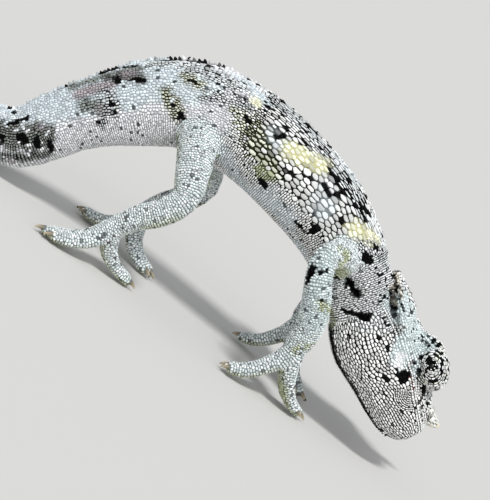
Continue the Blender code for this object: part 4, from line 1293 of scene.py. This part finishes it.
PAINT = {name: (rgb(*scale), rgb(*gap), wide) for name, (scale, gap, wide) in LOOKS.items()}
SHARP_LOOKS = ("black", "red")
CLAW_ROOT_COLOUR = rgb(96, 88, 74)
CLAW_TIP_COLOUR = rgb(188, 176, 150)
BROKEN_LOOKS = ("band", "olive", "dusky", "green", "slit")


def mirrored_line(line, kind):
    """The same line on the animal's other side."""
    if kind == "body":
        return line * np.array([1.0, -1.0, 1.0])
    return (in_head(line) * np.array([1.0, 1.0, -1.0])) @ HEAD_BASIS + np.array(NECK_CENTRE)


def rough(points, scale, shift=0.0):
    """Smooth noise from -1 to 1 at each point; scale is its grain in millimetres."""
    return np.array([noise.noise(Vector(point) / scale + Vector((shift, 0.0, 0.0))) for point in points])


def smooth_step(values, low, high):
    share = np.clip((values - low) / (high - low), 0.0, 1.0)
    return share * share * (3.0 - 2.0 * share)


class Coat:
    """Colour of each scale, colour of the skin in the gap beside it, and that gap's width."""

    def __init__(self, field, rng):
        self.points = field["points"]
        count = len(self.points)
        self.grain = rough(self.points, 0.9)
        self.blotch = rough(self.points, 0.75, 3.1)
        self.chance = rng.random(count)
        light = np.exp(rng.normal(-0.06, 0.2, count) + 0.12 * self.grain)
        self.colour = PAINT["pale"][0][None] * light[:, None]
        self.gap = np.tile(PAINT["pale"][1], (count, 1))
        self.wide = np.ones(count)

    def blend(self, look, weight, chosen=slice(None)):
        """Moves the chosen scales towards a look and keeps how light each is beside the others."""
        scale_paint, gap_paint, wide = PAINT[look]
        share = weight[:, None]
        shade = self.colour[chosen].mean(axis=1, keepdims=True) / PAINT["pale"][0].mean()
        wanted = scale_paint[None] * np.clip(shade, 0.6, 1.2)
        self.colour[chosen] = self.colour[chosen] * (1.0 - share) + wanted * share
        self.gap[chosen] = self.gap[chosen] * (1.0 - share) + gap_paint[None] * share
        self.wide[chosen] = self.wide[chosen] * (1.0 - weight) + wide * weight

    def mark(self, marks, skin, rng):
        """Puts the marks on both sides, the painted shade of slits and hollows among them; those of the left
        body are moved a little.
        """
        for look, kind, strokes in marks:
            for radius, *places in strokes:
                line = skin.seen(places)
                if not len(line):
                    continue
                other = mirrored_line(line, kind)
                if kind == "body":
                    other = other + np.array([rng.uniform(-1.2, 1.2), 0.0, rng.uniform(-0.6, 0.6)])
                self.stroke(look, radius * PIXEL, line)
                self.stroke(look, radius * PIXEL, skin.snap(other)[0])

    def stroke(self, look, radius, line):
        edge = 0.1 if look in SHARP_LOOKS else 0.9
        near, gaps = near_line(self.points, line, radius + edge)
        weight = (radius * (1.0 + 0.3 * self.grain[near]) - gaps.min(axis=1)) / edge + 0.5
        weight = np.clip(weight, 0.0, 1.0)
        if look in BROKEN_LOOKS:
            weight = weight * (self.blotch[near] + 0.5 * self.chance[near] > -0.02)
        self.blend(look, weight, near)


def paint(field, skin, rng):
    """Colours every scale and the skin beside it, and widens or narrows the gaps."""
    points, part = field["points"], field["part"]
    coat = Coat(field, rng)
    chance, grain, wave = coat.chance, coat.grain, rough(points, 5.0, 7.3)
    trunk = np.isin(part, ("trunk", "neck"))
    tail = part == "tail"
    head = part == "head"
    limb = np.char.find(part, "leg_") >= 0
    turret = np.char.find(part, "turret") >= 0
    row = body_rows_at(points)
    above = field["normals"][:, 2]
    forward, up, out = in_head(points).T
    small = field["size"] < LARGE_SCALE

    coat.blend("blue_white", smooth_step(wave, -0.1, 0.5) * 0.7 * trunk)
    coat.blend("lilac_white", np.where(tail | (trunk & (row > 7.0)), 0.85, 0.0))
    coat.blend("blue_white", 0.9 * tail * smooth_step(above, -0.2, 0.4))
    coat.blend("ash", 0.85 * (part == "neck"))
    coat.blend("turquoise", 0.75 * limb)
    coat.blend("ash", 0.55 * limb * smooth_step(coat.blotch, 0.0, 0.4))
    coat.blend("green", 0.4 * turret * smooth_step(grain, 0.0, 0.4))
    coat.blend("green", limb * smooth_step(0.5 * wave - above, 0.2, 0.9))
    bands = np.sin((row - 13.2) * TURN / 3.1) + 0.5 * wave
    coat.blend("band", tail * (row > 14.9) * smooth_step(bands, 0.1, 0.5) * (chance < 0.8))
    coat.mark(TINTS, skin, rng)

    flecks = np.zeros(len(points))
    dorsal = trunk & (above > 0.4)
    for chosen, share, strength in (
        (dorsal & (row < REAR_ROW), 0.14 + 0.2 * grain, 1.0),
        (dorsal & (row > REAR_ROW), 0.07 + 0.16 * grain, 0.97),
        (trunk & ~dorsal & small, 0.01 + 0.05 * grain, 0.9),
        (limb, 0.05 + 0.14 * grain, 0.78),
        (tail, 0.02 + 0.08 * grain, 0.9),
        (head, 0.012 * grain, 0.9),
        (head & (up > 1.0), 0.09 + 0.12 * grain, 0.92),
        (turret, 0.16 - 0.45 * coat.blotch, 1.0),
    ):
        flecks[chosen & (chance < share)] = strength
    # Scales on the throat's underside, left of its middle, are painted black: partly dark throat scales,
    # partly painted shade along the throat's lower edge.
    flecks[head & (out < -0.3 + 0.5 * grain) & (out > -1.6) & (up < -1.6)] = 1.0
    coat.blend("black", flecks)
    coat.mark(MARKS, skin, rng)

    for sign, name in ((1, "turret_right"), (-1, "turret_left")):
        rays, distance = eye_star(points, sign)
        coat.blend("white", 0.85 * ((part == name) & (distance < STAR_RADIUS) & ~rays))
        coat.blend("black", 1.0 * ((part == name) & rays))
    # The skin in the bare strips of folds, slits and nostrils is painted black: painted shade in these
    # recesses. At the open corner of the mouth it is dark red instead.
    bare = part == BARE
    coat.gap[bare] = PAINT["black"][1]
    lips = bare & (np.abs(up - 0.3) < 0.7) & (forward > 11.0) & (forward < OPEN_MOUTH_END)
    coat.gap[lips] = PAINT["red"][1]
    coat.colour[trunk & ~small] *= 0.87
    field["colour"] = np.clip(coat.colour, 0.0, 0.95)
    field["gap"] *= coat.wide
    return coat.gap


def body_rows_at(points):
    """Row number of BODY_ROWS beside each point."""
    spots = np.arange(0.0, BODY_TRACK.length, 0.5)
    tree = tree_of([BODY_TRACK.read(spot)[:3] for spot in spots])
    return np.interp(spots[nearest(tree, points)], BODY_TRACK.at, np.arange(len(BODY_TRACK.at)))


def scale_material(name, roughness, shine):
    """Horny surface that takes its colour, painted shade included, from its mesh's colour attribute, with
    fine mottling and bump.
    """
    material = bpy.data.materials.new(name)
    material.use_nodes = True
    tree = material.node_tree

    def node(kind, **values):
        made = tree.nodes.new("ShaderNode" + kind)
        for label, value in values.items():
            made.inputs[label.replace("_", " ")].default_value = value
        return made

    def link(source, output, target, socket):
        tree.links.new(source.outputs[output], target.inputs[socket])

    shader = tree.nodes["Principled BSDF"]
    shader.inputs["Roughness"].default_value = roughness
    shader.inputs["Specular IOR Level"].default_value = shine
    markings_and_painted_shade = node("Attribute")
    markings_and_painted_shade.attribute_name = "markings_and_painted_shade"
    mottle = node("TexNoise", Scale=3200.0, Detail=2.0)
    span = node("MapRange", To_Min=0.74, To_Max=1.16)
    mix = node("VectorMath")
    mix.operation = "SCALE"
    bump = node("Bump", Strength=0.25, Distance=0.00004)
    link(node("TexCoord"), "Object", mottle, "Vector")
    link(mottle, "Fac", span, "Value")
    link(markings_and_painted_shade, "Color", mix, 0)
    link(span, "Result", mix, "Scale")
    link(mix, "Vector", shader, "Base Color")
    link(mottle, "Fac", bump, "Height")
    link(bump, "Normal", shader, "Normal")
    return material


# Studio

def add_studio():
    """Pale floor, pale surroundings and large soft lights."""
    size = FLOOR_SIZE
    corners = [(-size, -size, 0), (size, -size, 0), (size, size, 0), (-size, size, 0)]
    mesh = bpy.data.meshes.new("floor")
    mesh.from_pydata(corners, [], [(0, 1, 2, 3)])
    floor = add_object("floor", mesh)
    material = bpy.data.materials.new("floor_paper")
    material.use_nodes = True
    shader = material.node_tree.nodes["Principled BSDF"]
    shader.inputs["Base Color"].default_value = FLOOR_COLOUR
    shader.inputs["Roughness"].default_value = 0.9
    mesh.materials.append(material)
    world = bpy.data.worlds.new("studio")
    world.use_nodes = True
    surroundings = world.node_tree.nodes["Background"]
    surroundings.inputs["Color"].default_value = SKY_COLOUR
    surroundings.inputs["Strength"].default_value = SKY_STRENGTH
    bpy.context.scene.world = world
    bpy.context.scene.view_settings.view_transform = "Standard"
    for name, direction, softness, strength in LIGHTS:
        data = bpy.data.lights.new(name, "SUN")
        data.energy = strength
        data.angle = math.radians(softness)
        light = add_object(name, data)
        light.rotation_euler = (-Vector(direction)).to_track_quat("-Z", "Y").to_euler()


# Eyes, lids, horn, claws and crests

def ball_mesh(centre, axis, radius, colour_at, rings=24, sides=36):
    """A ball whose colour goes by the degrees from its axis."""
    side = unit(axis.orthogonal())
    up = side.cross(axis)
    points, colours = [], []
    for ring in range(rings + 1):
        polar = math.pi * (ring + 0.02) / (rings + 0.04)
        for step in range(sides):
            out = around(side, up, TURN * step / sides)
            points.append(tuple(centre + around(axis, out, polar) * radius))
            colours.append(colour_at(math.degrees(polar)))
    return np.array(points), ring_faces(rings + 1, sides), np.array(colours)


def eye_colour(degrees):
    """Black pupil, thin gold ring, dark rest."""
    if degrees < 47.0:
        return rgb(3, 3, 3)
    return rgb(104, 76, 36) if degrees < 52.0 else rgb(26, 19, 14)


def lid_surface(sign, rings=40, sides=12):
    """The rolled rim of the fused lids round the eye's small opening."""
    axis = gaze(sign)
    centre = eye_centre(sign) + axis * LID_RISE
    side = unit(axis.orthogonal())
    other = axis.cross(side)
    points = []
    for ring in range(rings):
        out = around(side, other, TURN * ring / rings)
        for step in range(sides):
            tilt = TURN * step / sides
            rim = centre + out * (LID_RADIUS + LID_THICKNESS * math.cos(tilt))
            points.append(tuple(rim + axis * LID_THICKNESS * math.sin(tilt)))
    return Surface(np.array(points), ring_faces(rings, sides, closed=True))


def lid_field(surface, sign, rng):
    """Rings of granules on a lid's rim, dark where the eye's rays cross it."""
    axis = gaze(sign)
    side = unit(axis.cross(HEAD_UP))
    up = side.cross(axis)
    seeds = Seeds(rng)
    for number, (reach, rise, count) in enumerate(LID_RINGS):
        for step in range(count):
            out = around(side, up, TURN * (step + 0.5 * number) / count)
            point = eye_centre(sign) + axis * rise + out * reach
            seeds.add(point, out.cross(axis), 0.16, "lid", (number / 2.0, step / count))
    field = seeds.field(surface, SMALL_PIECE_REACH)
    rays = eye_star(field["points"], sign)[0]
    field["colour"] = np.where(rays[:, None], PAINT["black"][0][None], PAINT["white"][0][None])
    return field


def horn_axes():
    """Root, tip, axis, upward direction and length of the horn."""
    root, tip = head_point(*HORN_ROOT, 0.0), head_point(*HORN_TIP, 0.0)
    axis = unit(tip - root)
    return root, tip, axis, HEAD_RIGHT.cross(axis), (tip - root).length


def horn_radius(share):
    return HORN_BASE_RADIUS * float(np.interp(share, HORN_SHARES, HORN_WIDTHS))


def horn_field(surface, rng):
    """Granules round the horn."""
    root, tip, axis, up, length = horn_axes()
    seeds = Seeds(rng)
    for number, spot in enumerate(np.arange(0.5, length - 0.3, HORN_PITCHES[0])):
        radius = horn_radius(spot / length)
        count = max(4, int(round(TURN * radius / HORN_PITCHES[1])))
        for step in range(count):
            out = around(HEAD_RIGHT, up, TURN * (step + 0.5 * (number % 2)) / count)
            point = root + axis * spot + out * radius
            seeds.add(point, axis, HORN_GRANULE, "horn", (spot / length, step / count))
    seeds.add(tip, axis.orthogonal(), 0.3, "horn", (0.99, 0.5))
    field = seeds.field(surface, SMALL_PIECE_REACH)
    field["gap"] *= 0.6
    field["colour"] = rgb(238, 239, 232)[None] * rng.uniform(0.8, 1.05, (len(field["points"]), 1))
    return field


def horn_knobs():
    """Small rounded knobs of the horn, the largest at its tip."""
    root, tip, axis, up, length = horn_axes()
    meshes = []
    for share, degrees, radius in HORN_KNOBS:
        out = around(HEAD_RIGHT, up, math.radians(degrees))
        sunk = max(0.0, horn_radius(share) - 0.8 * radius)
        centre = root + axis * (length * share - 0.3) + out * sunk
        tone = rgb(240, 226, 196) if share > 0.7 else rgb(236, 236, 230)
        meshes.append(ball_mesh(centre, axis, radius, lambda polar, tone=tone: tone, 10, 16))
    return joined(meshes)


def claw_mesh(toe, rings=8, sides=10):
    """A short hooked cone that bends down to the floor, and the points along its middle."""
    heading = toe.heading(toe.length)
    flat = unit((heading.x, heading.y, 0.0))
    root = Vector(toe.read(toe.length)[:3]) + heading * TOE_TIP_RADIUS * 0.5
    points, colours, line = [], [], []
    for ring in range(rings):
        share = ring / (rings - 1.0)
        along = unit(flat * (1.0 - 0.35 * share) - UPRIGHT * (0.1 + 0.55 * share))
        centre = root + flat * CLAW_LENGTH * share - UPRIGHT * (0.5 * share * share - 0.12)
        right = unit(along.cross(UPRIGHT))
        high = right.cross(along)
        radius = CLAW_RADIUS * (1.0 - 0.8 * share)
        line.append(tuple(centre))
        for step in range(sides):
            angle = TURN * step / sides
            point = centre + right * (radius * 0.8 * math.cos(angle)) + high * (radius * math.sin(angle))
            points.append((point.x, point.y, max(point.z, 0.02)))
            colours.append(CLAW_ROOT_COLOUR * (1.0 - share) + CLAW_TIP_COLOUR * share)
    faces = ring_faces(rings, sides)[:, OTHER_WAY]
    return (np.array(points), faces, np.array(colours)), np.array(line)


def crest_cones(field, rng):
    """Conical scales along the back, the tail and the middle of the throat, as one mesh."""
    tree = tree_of(field["points"])
    meshes = []
    start, hip, end = (BODY_TRACK.distance(row) for row in CREST_ROWS)
    spot = start
    while spot < end:
        centre, heading, right, up, sizes = BODY_TRACK.frame(spot, UPRIGHT)
        base = centre + up * (sizes[1] - 0.14)
        tall = rng.uniform(0.2, 0.34) if spot < hip else rng.uniform(0.3, 0.64)
        height = tall * min(1.0, sizes[1] / 4.0)
        colour = field["colour"][tree.find(base)[1]] * rng.uniform(0.75, 1.0)
        meshes.append(cone_mesh(base, up + heading * 0.35, right, height, 0.22 + 0.2 * height, colour))
        spot += rng.uniform(0.46, 0.62)
    for forward in np.arange(GULAR_START, GULAR_START + GULAR_SPAN, GULAR_STEP):
        base = head_point(forward + rng.uniform(-0.1, 0.1), head_sizes(forward)[1] + 0.15, 0.0)
        # The throat's cones are nearly black: partly their own dark colour, partly painted shade along the
        # throat's underside.
        colour = PAINT["dusky"][0] * rng.uniform(0.03, 0.3)
        lean = -HEAD_UP + HEAD_FORWARD * 0.25
        height, radius = rng.uniform(0.34, 0.52), rng.uniform(0.2, 0.26)
        meshes.append(cone_mesh(base, lean, HEAD_RIGHT, height, radius, colour))
    return joined(meshes)


def add_scales(name, field, finish, rng):
    """Joined meshes of scales, each of a limited count."""
    cells = scale_cells(field)
    order = np.lexsort((field["points"][:, 0], field["part"]))
    order = order[field["part"][order] != BARE]
    for number, start in enumerate(range(0, len(order), MOST_SCALES_A_PIECE)):
        chosen = order[start:start + MOST_SCALES_A_PIECE]
        reach, angles, along, side = cells
        mesh = scale_mesh(pick(field, chosen), (reach[chosen], angles, along[chosen], side[chosen]), rng)
        add_piece(f"{name}_{number + 1}", finish, *mesh)


def add_piece(name, finish, points, faces, colours, places=None):
    """A mesh of the model with one of the finishes."""
    if np.ndim(colours) == 1:
        colours = np.tile(colours, (len(points), 1))
    piece = mesh_object(name, points, faces, colours, places)
    piece.data.materials.append(MATERIALS[finish])
    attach(piece, "root")
    return piece


# The model

def fold_lines(skin):
    """Folds, mouth and nostrils of both sides: line, half width, depth and half width of the bare strip."""
    folds = []
    for sign in (1, -1):
        nostril = head_point(*NOSTRIL, sign * head_side(*NOSTRIL))
        folds.append((mouth_line(sign), *MOUTH_FOLD))
        folds.append((mouth_corner(sign), *CORNER_FOLD))
        folds.append((np.array([nostril]), *NOSTRIL_FOLD))
    for kind, half_width, depth, bare, places in GROOVES:
        line = skin.seen(places)
        for side in (line, skin.snap(mirrored_line(line, kind))[0]):
            folds.append((side, half_width, depth, bare))
    return folds


def add_flesh(claw_lines, rng):
    """The skin with its folds and the scales on it; gives back the scales' roots."""
    skin = Skin(FLESH)
    bars = [(line, CLAW_ROOM) for line in claw_lines]
    for sign in (1, -1):
        bars.append((np.array([eye_centre(sign), eye_centre(sign) + gaze(sign) * 0.4]), EYE_ROOM))
    folds = fold_lines(skin)
    for line, half_width, depth, bare in folds:
        skin.carve(line, half_width, depth)
    skin.refresh()

    seeds = Seeds(rng)
    bare_seeds(seeds, folds)
    turret_seeds(seeds)
    lip_seeds(seeds)
    corner_seeds(seeds)
    head_seeds(seeds)
    limb_seeds(seeds)
    body_seeds(seeds)
    field = settle(seeds, skin, bars)
    field["gap"] = gap_shares(field)
    gap_colour = paint(field, skin, rng)
    add_scales("scales", field, "scales", rng)

    colours = gap_colour[nearest(tree_of(field["points"]), skin.points)]
    piece = add_piece("skin", "skin_between_scales", skin.points, skin.faces, colours)
    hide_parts(*FLESH)
    return field


def add_eye(sign, side_name, rng):
    """An eyeball and the scaled rim of its lids."""
    lid = lid_surface(sign)
    add_piece("lid_" + side_name, "skin_between_scales", lid.points, lid.faces, PAINT["dusky"][1])
    add_scales("lid_scales_" + side_name, lid_field(lid, sign, rng), "scales", rng)
    ball = ball_mesh(eye_centre(sign), gaze(sign), EYE_RADIUS, eye_colour)
    eye = add_piece("eyeball_" + side_name, "eyeball", *ball)
    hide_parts("eye_" + side_name)


def add_horn(rng):
    """The horn's core, its granules and its knobs."""
    core = Surface(*Skin.remeshed(*node_arrays("horn"), HORN_CELL))
    core.points = Skin.smoothed(core.points, core.faces, 4) - core.normals * HORN_COAT
    core.refresh()
    piece = add_piece("horn_core", "horn", core.points, core.faces, rgb(120, 118, 110))
    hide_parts("horn")
    add_scales("horn_scales", horn_field(core, rng), "horn", rng)
    add_piece("horn_knobs", "horn", *horn_knobs())


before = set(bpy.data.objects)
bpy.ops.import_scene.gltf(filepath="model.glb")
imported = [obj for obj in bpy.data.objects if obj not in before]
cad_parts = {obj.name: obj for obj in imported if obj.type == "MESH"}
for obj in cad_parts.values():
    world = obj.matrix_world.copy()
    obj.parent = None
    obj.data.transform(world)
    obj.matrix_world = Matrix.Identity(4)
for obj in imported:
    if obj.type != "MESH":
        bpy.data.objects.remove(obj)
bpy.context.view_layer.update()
lowest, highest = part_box("eye_right")
SHIFT = np.array((lowest + highest) / 2.0) / MM - np.array(eye_centre(1))
FLESH = [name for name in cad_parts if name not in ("eye_left", "eye_right", "horn")]
rng = np.random.default_rng(SEED)

add_camera()
add_studio()
MATERIALS = {name: scale_material(name, *look) for name, (slot, *look) in FINISHES.items()}

claws, claw_lines = zip(*[claw_mesh(toe) for name, track, toes in limbs() for toe in toes])
field = add_flesh(claw_lines, rng)
add_eye(1, "right", rng)
add_eye(-1, "left", rng)
add_horn(rng)
add_piece("claws", "horn", *joined(claws))
add_piece("crest_scales", "scales", *crest_cones(field, rng))
